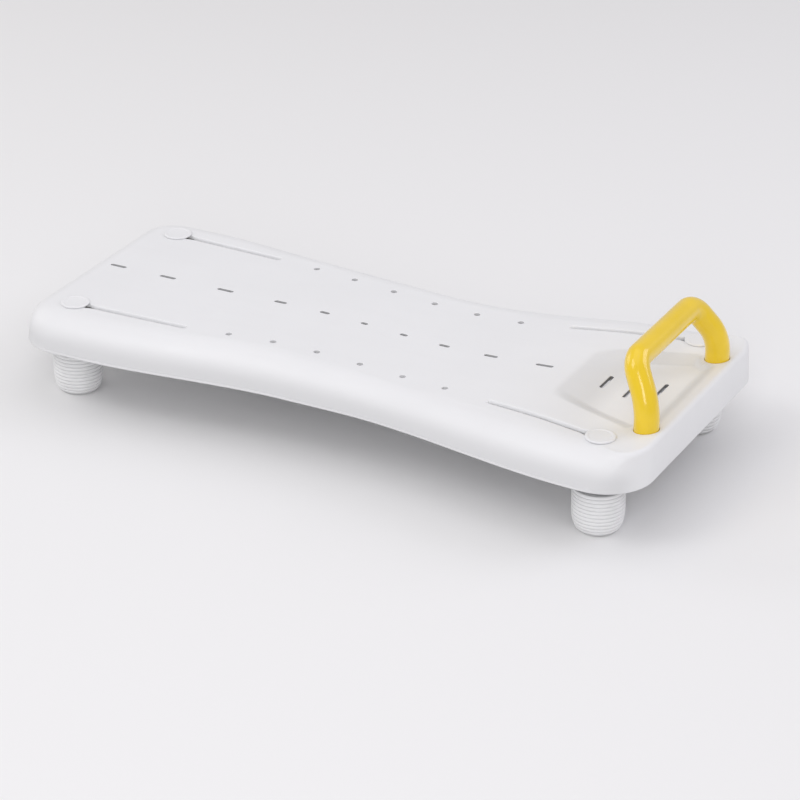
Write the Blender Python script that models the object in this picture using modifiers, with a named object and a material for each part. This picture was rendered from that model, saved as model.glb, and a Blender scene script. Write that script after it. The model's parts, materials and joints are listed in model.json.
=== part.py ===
"""Bath board: a moulded white deck with a soap tray, a yellow grab handle and four clamping feet.

Axes: +X runs along the board towards the handle, +Y across it to the far side, +Z up.
The origin is on the floor under the middle of the board, which stands on its four feet.
All lengths are in metres. Levels marked "below the deck top" are counted downwards.
"""
import math

import bmesh
import bpy
import numpy as np
from mathutils import Matrix, Vector

# General fits
FIT = 0.0003                    # gap kept between touching pieces
CUT_MARGIN = 0.010              # how far a cutter runs past the faces that it opens

# Deck outline along its bottom rim, seen from above
DECK_LENGTH = 0.703
HALF_WIDTH_LEFT = 0.149
HALF_WIDTH_WAIST = 0.129
HALF_WIDTH_RIGHT = 0.163
WAIST_X = -0.012
WAIST_HALF_LENGTH = 0.030       # straight stretch at the narrowest place
LEFT_STRAIGHT = 0.030           # straight stretch before the left corners
CORNER_RADIUS_LEFT = 0.050
CORNER_RADIUS_RIGHT = 0.050

# Deck section
STAND_HEIGHT = 0.096            # deck top above the floor
SKIRT_HEIGHT = 0.0365
SKIRT_FLARE = 0.0015            # how far the skirt leans out from its top to its rim
SKIN = 0.004                    # thickness under the top
WALL = 0.0035                   # thickness of the skirt
SIDE_ROUND = 0.034              # soft top edge of the long sides
LEFT_END_ROUND = 0.024
RIGHT_END_ROUND = 0.005
SMALLEST_ROUND = 0.001          # edge round left inside a thick wall
ROUND_CHANGE = 0.65             # share of the right corner in which the soft edge turns crisp
RIM_ROUND = 0.0012              # small round along the bottom rim

# Seat contour: a low crown on the left half, a dip on the right half and a raised right end
CROWN_HEIGHT = 0.001
CROWN_X = -0.100
CROWN_HALF_LENGTH = 0.060
DIP_DEPTH = 0.0062
DIP_X = 0.090
DIP_HALF_LENGTH = 0.155
END_RISE = 0.003
END_RISE_REACH = 0.0395         # from the right end to where the rise begins, past the parked discs
END_RISE_LENGTH = 0.035

# Ribs under the deck
RIB_THICKNESS = 0.0025
RIB_DEPTH = 0.018               # rib bottoms below the deck top
LONG_RIB_Y = (0.028, 0.058)
LEFT_CROSS_RIBS = (0.0705, 0.1355)      # from the left end
RIGHT_CROSS_RIB = 0.1465        # from the right end

# Drain openings
LEFT_END_SLOTS = (0.0385, 0.0995)       # the first two centre slots, from the left end
CENTRE_SLOT_X = (-0.182, -0.116, -0.064, -0.018, 0.027, 0.073, 0.125)
TRAY_SIDE_SLOT = 0.029          # the last centre slot, from the soap tray
CENTRE_SLOT_WIDTH = 0.0045
CENTRE_SLOT_SHORTEST = 0.0065
CENTRE_SLOT_LONGEST = 0.019
CENTRE_SLOT_GROWTH = 0.068      # extra length for each metre from the middle
HOLE_DIAMETER = 0.0065
HOLE_COUNT = 6
HOLE_FIRST_X = -0.124
HOLE_PITCH = 0.0482
HOLE_EDGE_DISTANCE = 0.049      # from the rim at the waist
HOLE_ROW_BOW = 0.010            # how far the row bends outwards at its left end
HOLE_ROW_MIDDLE_X = 0.020

# Soap tray: it widens towards the right and runs in between the handle's two legs
TRAY_LENGTH = 0.124
TRAY_END_LAND = 0.0145          # between the tray and the right end
TRAY_HALF_WIDTH_LEFT = 0.058
TRAY_SPREAD = 0.343             # how much half width it gains for each unit of length
TRAY_RAMP = 0.062               # length of the ramp at the left
TRAY_RAMP_STRAIGHT = 0.6        # share of the ramp that is straight before it levels out
TRAY_SIDE_SLOPE = 0.016
TRAY_END_SLOPE = 0.012
TRAY_LEG_LAND = 0.0032          # level land around each leg
TRAY_LEG_SLOPE = 0.008
TRAY_DEPTH = 0.0066             # at the foot of the ramp
TRAY_FLOOR_RISE = 0.0016        # how much the floor rises from there to its right end
TRAY_CENTRE_RUN = 0.075         # from its left edge to the middle of the rays that lay out its walls
TRAY_SHELL_GROWTH = 0.003       # how far the tray's shell stands outside its hollow
TRAY_SLOT_WIDTH = 0.004
TRAY_SLOT_FIRST_RUN = 0.038     # from its left edge
TRAY_SLOT_PITCH = 0.027
TRAY_SLOT_HALF_LENGTHS = (0.014, 0.020, 0.025)

# Foot slots: the clamp stands at the outer end and slides inwards
FOOT_END_DISTANCE_LEFT = 0.050  # from the left end to the parked clamp's axis
FOOT_END_DISTANCE_RIGHT = 0.053
FOOT_Y_LEFT = 0.0995
FOOT_Y_RIGHT = 0.1185
FOOT_TRAVEL_X = 0.124           # travel counted along the board
SLOT_END_ROOM = 0.0035          # straight room past the bolt at both ends of its travel
SLOT_LEAN_LEFT = 0.033          # how far the slot leans in for each unit of length
SLOT_LEAN_RIGHT = 0.187
SLOT_WIDTH = 0.0066
SLOT_MOUTH_WIDTH = 0.0095       # widened stretch beside the parked disc
SLOT_MOUTH_LENGTH = 0.010
SLOT_MOUTH_START = 0.002        # how far under the disc's edge the mouth begins
SLOT_MOUTH_LEDGE = 0.001        # how far the mouth ends above the slot's low end
CHANNEL_WIDTH = 0.025           # between the rails under a slot

# Clamp: disc, bolt and slide shoe
DISC_DIAMETER = 0.030
DISC_HEIGHT = 0.0020
DISC_EDGE_HEIGHT = 0.0010
DISC_DISH = 0.0003
DISC_RIM = 0.0025
DISC_SOFT = 0.0008              # width of the rim's soft edges
BOLT_DIAMETER = 0.006
BOLT_HEAD_DIAMETER = 0.016
BOLT_HEAD_HEIGHT = 0.0009
BOLT_LENGTH = 0.080             # below the deck top
BOLT_NECK_DEPTH = 0.0037
SHANK_RELIEF = 0.0001           # how much slimmer the round shank is than the square neck
SHOE_LENGTH = 0.030
SHOE_KEY_DEPTH = 0.008          # top of the key below the deck top, clear of the seat's dip
SHOE_FLANGE_DIAMETER = 0.040
SHOE_FLANGE_THICKNESS = 0.003

# Foot: hub and ribbed sleeve
HUB_FLANGE_DIAMETER = 0.038
HUB_FLANGE_THICKNESS = 0.004
HUB_NECK_DIAMETER = 0.030
HUB_NECK_TAPER = 0.003          # height of the cone between the flange and the neck
HUB_CORE_DIAMETER = 0.034
HUB_CORE_TAPER = 0.002
SLEEVE_DIAMETER = 0.052
SLEEVE_HEIGHT = 0.046
SLEEVE_SOLE_DIAMETER = 0.034
SLEEVE_SOLE_THICKNESS = 0.0077
SLEEVE_ROUND_HEIGHT = 0.024
RIDGE_COUNT = 11
RIDGE_DEPTH = 0.0012
SOLE_EDGE = 0.001               # how much wider the sleeve is just above its sole
SOLE_EDGE_HEIGHT = 0.0024
BOLT_END_CLEARANCE = 0.0015

# Handle
TUBE_DIAMETER = 0.0245
TUBE_WALL = 0.0025
HANDLE_END_LAND = 0.0205        # from the leg's axis to the right end
HANDLE_BASE_Y = 0.0860
HANDLE_LEAN = 0.022             # the grip leans this far towards the board's middle
HANDLE_CORNER_Y = 0.0690
GRIP_HEIGHT = 0.0615            # axis of the grip above the deck top
LEG_KNEE_HEIGHT = 0.026         # where the legs begin to lean
KNEE_RADIUS = 0.050
CORNER_BEND_RADIUS = 0.021
SOCKET_GAP = 0.0007
SOCKET_DEPTH = 0.022
SOCKET_SHELF = 0.005
SOCKET_WALL = 0.0035
INSERT_FLANGE_THICKNESS = 0.002
INSERT_LENGTH = 0.030
INSERT_TAPER = 0.001            # how much slimmer the insert is at its tip
INSERT_EASE = 0.0005            # and how much at its flange
HANDLE_BOLT_DIAMETER = 0.008
HANDLE_BOLT_REACH = 0.015       # how far the bolt stands above the shelf
HANDLE_BOLT_HEAD_WIDTH = 0.013
HANDLE_BOLT_HEAD_HEIGHT = 0.005
WASHER_DIAMETER = 0.020
WASHER_THICKNESS = 0.0016

# Fineness of the round shapes: stretches along a long side, an end, half a corner and the edge round
OUTSIDE_STEPS = (20, 4, 3, 4)
HOLLOW_STEPS = (12, 2, 2, 2)
TRAY_RAYS = 40
TRAY_WALL_SHARES = (0.0, 0.3, 0.65, 1.0)
TRAY_FLOOR_SHARES = (0.6, 0.25)
TURN_STEPS = 18
FOOT_TURN_STEPS = 16
SMALL_TURN_STEPS = 12
DRAIN_HOLE_STEPS = 8
TUBE_BEVEL_RESOLUTION = 6
BORE_BEVEL_RESOLUTION = 3
BEND_STEPS = 6

DECK_TOP = STAND_HEIGHT
HALF_LENGTH = DECK_LENGTH / 2
TRAY_RIGHT_X = HALF_LENGTH - TRAY_END_LAND
TRAY_LEFT_X = TRAY_RIGHT_X - TRAY_LENGTH
TRAY_CENTRE_X = TRAY_LEFT_X + TRAY_CENTRE_RUN
FEET = (
    ("front_left", -1, -1),
    ("back_left", -1, 1),
    ("front_right", 1, -1),
    ("back_right", 1, 1),
)
SIDES = (("front", -1), ("back", 1))


# Scene, collections and materials

def clear_scene():
    """Remove every object that is in the open scene."""
    for obj in list(bpy.data.objects):
        bpy.data.objects.remove(obj, do_unlink=True)


def make_collection(name):
    """Return a new collection linked to the scene."""
    collection = bpy.data.collections.new(name)
    bpy.context.scene.collection.children.link(collection)
    return collection


def make_material(name, colour, roughness, metallic=0.0):
    """Return a Principled material with one colour."""
    material = bpy.data.materials.new(name)
    material.use_nodes = True
    shader = material.node_tree.nodes["Principled BSDF"]
    shader.inputs["Base Color"].default_value = (*colour, 1.0)
    shader.inputs["Roughness"].default_value = roughness
    shader.inputs["Metallic"].default_value = metallic
    material.diffuse_color = (*colour, 1.0)
    return material


def add_object(name, mesh, collection, material=None):
    """Put a mesh into a collection as a new object."""
    obj = bpy.data.objects.new(name, mesh)
    collection.objects.link(obj)
    if material is not None and not mesh.materials:
        mesh.materials.append(material)
    return obj


def mesh_from_bmesh(name, bm):
    """Turn a bmesh into a mesh with its faces pointing out."""
    bmesh.ops.recalc_face_normals(bm, faces=bm.faces)
    mesh = bpy.data.meshes.new(name)
    bm.to_mesh(mesh)
    bm.free()
    return mesh


def add_cutter(name, bm, collection):
    """Put a bmesh into a cutters' collection, drawn as wire and left out of renders."""
    obj = add_object(name, mesh_from_bmesh(name, bm), collection)
    obj.hide_render = True
    obj.display_type = "WIRE"
    return obj


def boolean_object(obj, other, operation="DIFFERENCE"):
    """Add a Boolean modifier that works with one other object."""
    modifier = obj.modifiers.new("with_" + other.name, "BOOLEAN")
    modifier.operation = operation
    modifier.solver = "EXACT"
    modifier.object = other


def boolean_collection(obj, collection, operation="DIFFERENCE"):
    """Add a Boolean modifier that works with a whole collection."""
    modifier = obj.modifiers.new("with_" + collection.name, "BOOLEAN")
    modifier.operation = operation
    modifier.solver = "EXACT"
    modifier.operand_type = "COLLECTION"
    modifier.collection = collection


def shade_round(mesh, angle=math.radians(35)):
    """Shade a mesh smooth, with edges sharper than the angle kept sharp."""
    mesh.shade_smooth()
    mesh.set_sharp_from_angle(angle=angle)


# Simple shapes

def add_prism(bm, outline, low, high):
    """Add a closed prism: the outline in plan, from a low to a high level."""
    base = bm.faces.new([bm.verts.new((x, y, low)) for x, y in outline])
    top = bmesh.ops.extrude_face_region(bm, geom=[base])
    raised = [item for item in top["geom"] if isinstance(item, bmesh.types.BMVert)]
    bmesh.ops.translate(bm, verts=raised, vec=(0, 0, high - low))


def add_box(bm, centre, along, size):
    """Add a box of length, width and height, turned so that its length lies on a plan direction."""
    turn = Matrix.Rotation(math.atan2(along[1], along[0]), 4, "Z")
    place = Matrix.Translation(centre) @ turn @ Matrix.Diagonal((*size, 1.0))
    bmesh.ops.create_cube(bm, size=1.0, matrix=place)


def stadium(start, end, width, steps=4):
    """Outline of a slot with round ends between two points."""
    start, end = Vector(start), Vector(end)
    heading = math.atan2(end.y - start.y, end.x - start.x)
    points = []
    for centre, first in ((end, heading - math.pi / 2), (start, heading + math.pi / 2)):
        for k in range(steps + 1):
            angle = first + math.pi * k / steps
            points.append((centre.x + width / 2 * math.cos(angle), centre.y + width / 2 * math.sin(angle)))
    return points


def circle(centre, diameter, steps):
    """Outline of a circle as a polygon."""
    turns = [2 * math.pi * k / steps for k in range(steps)]
    return [(centre[0] + diameter / 2 * math.cos(a), centre[1] + diameter / 2 * math.sin(a)) for a in turns]


def turned_mesh(name, profile, closed):
    """Mesh that holds a profile of (radius, height) points, ready for a Screw modifier."""
    mesh = bpy.data.meshes.new(name)
    count = len(profile)
    edges = [(k, k + 1) for k in range(count - 1)]
    if closed:
        edges.append((count - 1, 0))
    mesh.from_pydata([(radius, 0.0, height) for radius, height in profile], edges, [])
    return mesh


def turn(obj, steps):
    """Turn an object's profile around its own Z axis."""
    modifier = obj.modifiers.new("turned", "SCREW")
    modifier.axis = "Z"
    modifier.angle = 2 * math.pi
    modifier.steps = steps
    modifier.render_steps = steps
    modifier.use_merge_vertices = True
    modifier.merge_threshold = 0.00001
    modifier.use_smooth_shade = True


def add_turned(name, profile, steps, place, collection, material=None, closed=False):
    """Add a turned object at a place. A closed profile leaves a hole along the axis."""
    obj = add_object(name, turned_mesh(name, profile, closed), collection, material)
    obj.location = place
    turn(obj, steps)
    return obj


# Deck outline and section

def ease(t):
    """Ease from 0 to 1 with level ends."""
    t = np.clip(t, 0.0, 1.0)
    return t * t * (3 - 2 * t)


def hump(t):
    """Round hump of height 1 that meets zero level at -1 and 1."""
    return (1 - np.clip(t, -1.0, 1.0) ** 2) ** 2


def half_width(x):
    """Half width of the deck at a place along it: narrow at the waist, wide at both ends."""
    left = WAIST_X - WAIST_HALF_LENGTH
    right = WAIST_X + WAIST_HALF_LENGTH
    share_left = ease((left - x) / (left + HALF_LENGTH - CORNER_RADIUS_LEFT - LEFT_STRAIGHT))
    share_right = ease((x - right) / (HALF_LENGTH - CORNER_RADIUS_RIGHT - right))
    wider_left = (HALF_WIDTH_LEFT - HALF_WIDTH_WAIST) * share_left
    wider_right = (HALF_WIDTH_RIGHT - HALF_WIDTH_WAIST) * share_right
    return HALF_WIDTH_WAIST + wider_left + wider_right


def seat_contour(x):
    """Height of the seat above the level deck top."""
    crown = CROWN_HEIGHT * hump((x - CROWN_X) / CROWN_HALF_LENGTH)
    dip = DIP_DEPTH * hump((x - DIP_X) / DIP_HALF_LENGTH)
    rise = END_RISE * ease((x - HALF_LENGTH + END_RISE_REACH) / END_RISE_LENGTH)
    return crown - dip + rise


def right_corner_round(share):
    """Edge round along the right corner: soft at the long side, crisp at the end."""
    return SIDE_ROUND + (RIGHT_END_ROUND - SIDE_ROUND) * ease(share / ROUND_CHANGE)


def near_side(steps, corner_steps):
    """Near long side, left to right: (point, outward direction, edge round) from corner to corner."""
    rows = []
    left_x = -HALF_LENGTH + CORNER_RADIUS_LEFT
    right_x = HALF_LENGTH - CORNER_RADIUS_RIGHT
    for k in range(corner_steps):
        share = k / corner_steps
        angle = math.radians(225 + 45 * share)
        out = (math.cos(angle), math.sin(angle))
        centre_y = -(HALF_WIDTH_LEFT - CORNER_RADIUS_LEFT)
        point = (left_x + CORNER_RADIUS_LEFT * out[0], centre_y + CORNER_RADIUS_LEFT * out[1])
        soft = LEFT_END_ROUND + (SIDE_ROUND - LEFT_END_ROUND) * ease(0.5 + share / 2)
        rows.append((point, out, soft))
    places = np.linspace(left_x, right_x, steps + 1)
    slopes = np.gradient(half_width(places), places)
    slopes[[0, -1]] = 0.0
    for x, slope in zip(places, slopes):
        length = math.hypot(1, slope)
        rows.append(((x, -half_width(x)), (-slope / length, -1 / length), SIDE_ROUND))
    for k in range(1, corner_steps + 1):
        share = k / corner_steps
        angle = math.radians(270 + 45 * share)
        out = (math.cos(angle), math.sin(angle))
        centre_y = -(HALF_WIDTH_RIGHT - CORNER_RADIUS_RIGHT)
        point = (right_x + CORNER_RADIUS_RIGHT * out[0], centre_y + CORNER_RADIUS_RIGHT * out[1])
        rows.append((point, out, right_corner_round(share / 2)))
    return rows


def end_side(side, steps, corner_steps):
    """One end, from the near to the far side, without the half corners of the long sides."""
    radius = CORNER_RADIUS_RIGHT if side > 0 else CORNER_RADIUS_LEFT
    width = HALF_WIDTH_RIGHT if side > 0 else HALF_WIDTH_LEFT
    inner_y = width - radius
    rows = []
    for k in range(1, corner_steps + 1):
        share = k / corner_steps
        angle = math.radians(45 * (1 - share))
        out = (side * math.cos(angle), -math.sin(angle))
        point = (side * (HALF_LENGTH - radius) + radius * out[0], -inner_y + radius * out[1])
        soft = right_corner_round(0.5 + share / 2)
        if side < 0:
            soft = SIDE_ROUND + (LEFT_END_ROUND - SIDE_ROUND) * ease(0.5 + share / 2)
        rows.append((point, out, soft))
    for k in range(1, steps):
        y = -inner_y + 2 * inner_y * k / steps
        rows.append(((side * HALF_LENGTH, y), (side, 0.0), RIGHT_END_ROUND if side > 0 else LEFT_END_ROUND))
    mirrored = [((p[0], -p[1]), (o[0], -o[1]), s) for p, o, s in reversed(rows[:corner_steps])]
    return rows + mirrored


def deck_loop(side_steps, end_steps, corner_steps):
    """Whole outline anticlockwise from the near left corner, with the counts along and across."""
    near = near_side(side_steps, corner_steps)
    far = [((p[0], -p[1]), (o[0], -o[1]), s) for p, o, s in reversed(near)]
    right = end_side(1, end_steps, corner_steps)
    left = list(reversed(end_side(-1, end_steps, corner_steps)))
    loop = near + right[:-1] + far + left[:-1]
    return loop, len(near) - 1, len(right)


def lofted_deck(inset, drop, low, fineness):
    """Closed body of the deck's shape, drawn in by an inset, lowered by a drop, down to a level.

    With no inset and no drop it is the outside of the deck, with its small bottom round.
    With the wall and the skin it is the hollow under the deck, which runs out below the rim.
    """
    *outline_steps, round_steps = fineness
    loop, along, across = deck_loop(*outline_steps)
    points = np.array([row[0] for row in loop])
    outs = np.array([row[1] for row in loop])
    softs = np.maximum(np.array([row[2] for row in loop]) - inset, SMALLEST_ROUND)
    base = points - outs * inset
    contour = seat_contour(points[:, 0])
    top = DECK_TOP - drop
    rim = DECK_TOP - SKIRT_HEIGHT

    rings = []
    if inset == 0:
        rings.append(np.column_stack([base - outs * RIM_ROUND, np.full(len(base), low)]))
        rings.append(np.column_stack([base, np.full(len(base), low + RIM_ROUND)]))
    else:
        rings.append(np.column_stack([base, np.full(len(base), low)]))
    for k in range(round_steps + 1):
        angle = math.pi / 2 * k / round_steps
        plan = base - outs * (SKIRT_FLARE + softs * (1 - math.cos(angle)))[:, None]
        height = top - softs * (1 - math.sin(angle))
        height = height + contour * (height - rim) / (top - rim)
        rings.append(np.column_stack([plan, height]))

    bm = bmesh.new()
    verts = [[bm.verts.new(p) for p in ring] for ring in rings]
    count = len(base)
    for lower, upper in zip(verts, verts[1:]):
        for k in range(count):
            n = (k + 1) % count
            bm.faces.new((lower[k], lower[n], upper[n], upper[k]))
    bm.faces.new(list(reversed(verts[0])))
    fill_top(bm, verts[-1], along, across, top)
    curved = [face for face in bm.faces if len(face.verts) == 4]
    bmesh.ops.triangulate(bm, faces=curved, quad_method="SHORT_EDGE")
    return bm


def fill_top(bm, edge, along, across, top):
    """Fill the top inside its last ring with a grid that follows all four sides."""
    near = edge[:along + 1]
    right = edge[along:along + across + 1]
    far = list(reversed(edge[along + across:2 * along + across + 1]))
    left = list(reversed(edge[2 * along + across:] + edge[:1]))
    grid = [list(left)]
    for i in range(1, along):
        u = (near[i].co.x - near[0].co.x) / (near[along].co.x - near[0].co.x)
        column = [near[i]]
        for j in range(1, across):
            v_left = (left[j].co.y - left[0].co.y) / (left[across].co.y - left[0].co.y)
            v_right = (right[j].co.y - right[0].co.y) / (right[across].co.y - right[0].co.y)
            v = v_left * (1 - u) + v_right * u
            bulge = (left[j].co.x - left[0].co.x) * (1 - u) + (right[j].co.x - right[0].co.x) * u
            x = near[i].co.x + bulge
            y = near[i].co.y * (1 - v) + far[i].co.y * v
            column.append(bm.verts.new((x, y, top + seat_contour(x))))
        column.append(far[i])
        grid.append(column)
    grid.append(list(right))
    for i in range(along):
        for j in range(across):
            bm.faces.new((grid[i][j], grid[i + 1][j], grid[i + 1][j + 1], grid[i][j + 1]))


# Foot slots

def slot_line(end, side):
    """Parked point of a foot, the inner end of its slot, the direction and the length between them."""
    x = HALF_LENGTH - (FOOT_END_DISTANCE_RIGHT if end > 0 else FOOT_END_DISTANCE_LEFT)
    y = FOOT_Y_RIGHT if end > 0 else FOOT_Y_LEFT
    lean = SLOT_LEAN_RIGHT if end > 0 else SLOT_LEAN_LEFT
    start = Vector((end * x, side * y))
    travel = Vector((-end * FOOT_TRAVEL_X, -side * lean * FOOT_TRAVEL_X))
    return start, start + travel, travel.normalized(), travel.length


def add_slot_cutters(collection):
    """Slots through the skin, with the widened mouth beside each parked disc."""
    high = DECK_TOP + CUT_MARGIN
    low = DECK_TOP - RIB_DEPTH
    slots = bmesh.new()
    mouths = bmesh.new()
    for _, end, side in FEET:
        start, stop, along, _ = slot_line(end, side)
        across = Vector((-along.y, along.x))
        room = along * SLOT_END_ROOM
        add_prism(slots, stadium(start - room, stop + room, SLOT_WIDTH), low, high)
        wide = start + along * (DISC_DIAMETER / 2 - SLOT_MOUTH_START)
        slim = start + along * (DISC_DIAMETER / 2 + SLOT_MOUTH_LENGTH)
        outline = [
            wide - across * SLOT_MOUTH_WIDTH / 2, slim - across * SLOT_WIDTH / 2,
            slim + across * SLOT_WIDTH / 2, wide + across * SLOT_MOUTH_WIDTH / 2,
        ]
        add_prism(mouths, [tuple(p) for p in outline], low + SLOT_MOUTH_LEDGE, high)
    add_cutter("foot_slots", slots, collection)
    add_cutter("slot_mouths", mouths, collection)


def add_channel_cutters(collection):
    """Clear channels between the rails, where the shoe's key runs."""
    bm = bmesh.new()
    for _, end, side in FEET:
        start, stop, along, length = slot_line(end, side)
        middle = (start + stop) / 2
        roof = DECK_TOP - SHOE_KEY_DEPTH + FIT
        height = RIB_DEPTH - SHOE_KEY_DEPTH + CUT_MARGIN
        centre = (middle.x, middle.y, roof - height / 2)
        add_box(bm, centre, along, (length + SHOE_LENGTH + 2 * FIT, CHANNEL_WIDTH, height))
    add_cutter("slide_channels", bm, collection)


# Drain openings

def hole_places():
    """Places of the round drain holes in the two bowed rows."""
    middle_y = HALF_WIDTH_WAIST - HOLE_EDGE_DISTANCE
    reach = HOLE_ROW_MIDDLE_X - HOLE_FIRST_X
    places = []
    for k in range(HOLE_COUNT):
        x = HOLE_FIRST_X + k * HOLE_PITCH
        y = middle_y + HOLE_ROW_BOW * ((x - HOLE_ROW_MIDDLE_X) / reach) ** 2
        places += [(x, -y), (x, y)]
    return places


def add_drain_cutters(collection):
    """Centre row of slots, two rows of holes and the slots of the soap tray."""
    high = DECK_TOP + CUT_MARGIN
    low = DECK_TOP - RIB_DEPTH - CUT_MARGIN
    bm = bmesh.new()
    near_left_end = tuple(run - HALF_LENGTH for run in LEFT_END_SLOTS)
    for x in near_left_end + CENTRE_SLOT_X + (TRAY_LEFT_X - TRAY_SIDE_SLOT,):
        length = min(CENTRE_SLOT_SHORTEST + CENTRE_SLOT_GROWTH * abs(x), CENTRE_SLOT_LONGEST)
        reach = (length - CENTRE_SLOT_WIDTH) / 2
        add_prism(bm, stadium((x - reach, 0), (x + reach, 0), CENTRE_SLOT_WIDTH, 3), low, high)
    for place in hole_places():
        add_prism(bm, circle(place, HOLE_DIAMETER, DRAIN_HOLE_STEPS), low, high)
    for k, half_length in enumerate(TRAY_SLOT_HALF_LENGTHS):
        x = TRAY_LEFT_X + TRAY_SLOT_FIRST_RUN + k * TRAY_SLOT_PITCH
        reach = half_length - TRAY_SLOT_WIDTH / 2
        add_prism(bm, stadium((x, -reach), (x, reach), TRAY_SLOT_WIDTH, 3), low, high)
    add_cutter("drain_openings", bm, collection)


# Soap tray

def tray_shares(x, y):
    """Shares of the way in from the tray's rim: along the ramp, off the side, the end and a leg."""
    side_y = TRAY_HALF_WIDTH_LEFT + TRAY_SPREAD * (x - TRAY_LEFT_X)
    leg_x = HALF_LENGTH - HANDLE_END_LAND
    leg_land = TUBE_DIAMETER / 2 + TRAY_LEG_LAND
    from_leg = np.hypot(x - leg_x, np.abs(y) - HANDLE_BASE_Y) - leg_land
    return np.stack([
        (x - TRAY_LEFT_X) / TRAY_RAMP,
        (side_y - np.abs(y)) / TRAY_SIDE_SLOPE,
        (TRAY_RIGHT_X - x) / TRAY_END_SLOPE,
        from_leg / TRAY_LEG_SLOPE,
    ])


def tray_drop(x, y):
    """How far the tray lies below the deck: its floor's depth, less towards all its walls."""
    ramp, side, end, leg = np.clip(tray_shares(x, y), 0.0, 1.0)
    left = 1 - TRAY_RAMP_STRAIGHT
    levelling = np.maximum(ramp - TRAY_RAMP_STRAIGHT, 0.0) ** 2 / (2 * left)
    way_down = (ramp - levelling) / (1 - left / 2)
    floor_start = TRAY_LEFT_X + TRAY_RAMP
    along_floor = (x - floor_start) / (TRAY_RIGHT_X - floor_start)
    depth = TRAY_DEPTH - TRAY_FLOOR_RISE * np.clip(along_floor, 0.0, 1.0)
    return depth * way_down * ease(side) * ease(end) * ease(leg)


def tray_ring(share):
    """Points of the tray at one share of the way in from its rim, on rays from its middle."""
    angles = 2 * math.pi * np.arange(TRAY_RAYS) / TRAY_RAYS
    rays = np.column_stack([np.cos(angles), np.sin(angles)])
    near = np.zeros(TRAY_RAYS)
    far = np.full(TRAY_RAYS, HALF_LENGTH)
    for _ in range(30):
        middle = (near + far) / 2
        inside = tray_shares(TRAY_CENTRE_X + middle * rays[:, 0], middle * rays[:, 1]).min(axis=0) > share
        near = np.where(inside, middle, near)
        far = np.where(inside, far, middle)
    return rays, near


def tray_body(grow, extra):
    """Closed body of the tray's hollow with eased walls, grown by a wall and deepened by a skin."""
    centre = np.array([TRAY_CENTRE_X, 0.0])
    plans = []
    for share in TRAY_WALL_SHARES:
        rays, reach = tray_ring(share)
        plans.append((reach, reach + grow))
    plans += [(reach * share, (reach + grow) * share) for share in TRAY_FLOOR_SHARES]
    bm = bmesh.new()
    rings = []
    for reach, grown in plans:
        plan = centre + rays * reach[:, None]
        level = DECK_TOP + seat_contour(plan[:, 0]) - tray_drop(plan[:, 0], plan[:, 1]) - extra
        rings.append(np.column_stack([centre + rays * grown[:, None], level]))
    lid = rings[0].copy()
    lid[:, 2] = DECK_TOP + CUT_MARGIN
    verts = [[bm.verts.new(point) for point in ring] for ring in reversed([lid] + rings)]
    bottom = DECK_TOP - float(tray_drop(TRAY_CENTRE_X, 0.0)) - extra
    pole = bm.verts.new((TRAY_CENTRE_X, 0.0, bottom))
    for lower, upper in zip(verts, verts[1:]):
        for k in range(TRAY_RAYS):
            n = (k + 1) % TRAY_RAYS
            bm.faces.new((lower[k], lower[n], upper[n], upper[k]))
    for k in range(TRAY_RAYS):
        bm.faces.new((pole, verts[0][(k + 1) % TRAY_RAYS], verts[0][k]))
    bm.faces.new(verts[-1])
    curved = [face for face in bm.faces if len(face.verts) == 4]
    bmesh.ops.triangulate(bm, faces=curved, quad_method="SHORT_EDGE")
    return bm


# Ribs, rails and bosses, which are taken out of the hollow under the deck

def add_rib_bodies(collection):
    """Long and cross ribs, the rails along the slots, the tray's shell and the handle bosses."""
    high = DECK_TOP + CUT_MARGIN
    low = DECK_TOP - RIB_DEPTH
    height = high - low
    middle = (high + low) / 2
    long_ribs = bmesh.new()
    for y in LONG_RIB_Y:
        for side in (-1, 1):
            add_box(long_ribs, (0, side * y, middle), (1, 0), (DECK_LENGTH, RIB_THICKNESS, height))
    add_cutter("long_ribs", long_ribs, collection)

    cross_ribs = bmesh.new()
    places = [run - HALF_LENGTH for run in LEFT_CROSS_RIBS]
    places += [HOLE_FIRST_X + HOLE_PITCH * (k - 0.5) for k in range(HOLE_COUNT + 1)]
    places.append(HALF_LENGTH - RIGHT_CROSS_RIB)
    for x in places:
        add_box(cross_ribs, (x, 0, middle), (0, 1), (2 * HALF_WIDTH_RIGHT, RIB_THICKNESS, height))
    add_cutter("cross_ribs", cross_ribs, collection)

    rails = bmesh.new()
    for _, end, side in FEET:
        start, stop, along, length = slot_line(end, side)
        across = Vector((-along.y, along.x))
        for hand in (-1, 1):
            centre = (start + stop) / 2 + across * hand * (CHANNEL_WIDTH + RIB_THICKNESS) / 2
            size = (length + SHOE_LENGTH + 2 * RIB_THICKNESS, RIB_THICKNESS, height)
            add_box(rails, (centre.x, centre.y, middle), along, size)
    add_cutter("slot_rails", rails, collection)

    add_cutter("tray_shell", tray_body(TRAY_SHELL_GROWTH, TRAY_SHELL_GROWTH), collection)

    bosses = bmesh.new()
    outer = TUBE_DIAMETER + 2 * (SOCKET_GAP + SOCKET_WALL)
    for _, side in SIDES:
        place = (HALF_LENGTH - HANDLE_END_LAND, side * HANDLE_BASE_Y)
        add_prism(bosses, circle(place, outer, TURN_STEPS), DECK_TOP - SOCKET_DEPTH - SOCKET_SHELF, high)
    add_cutter("handle_bosses", bosses, collection)


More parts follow.
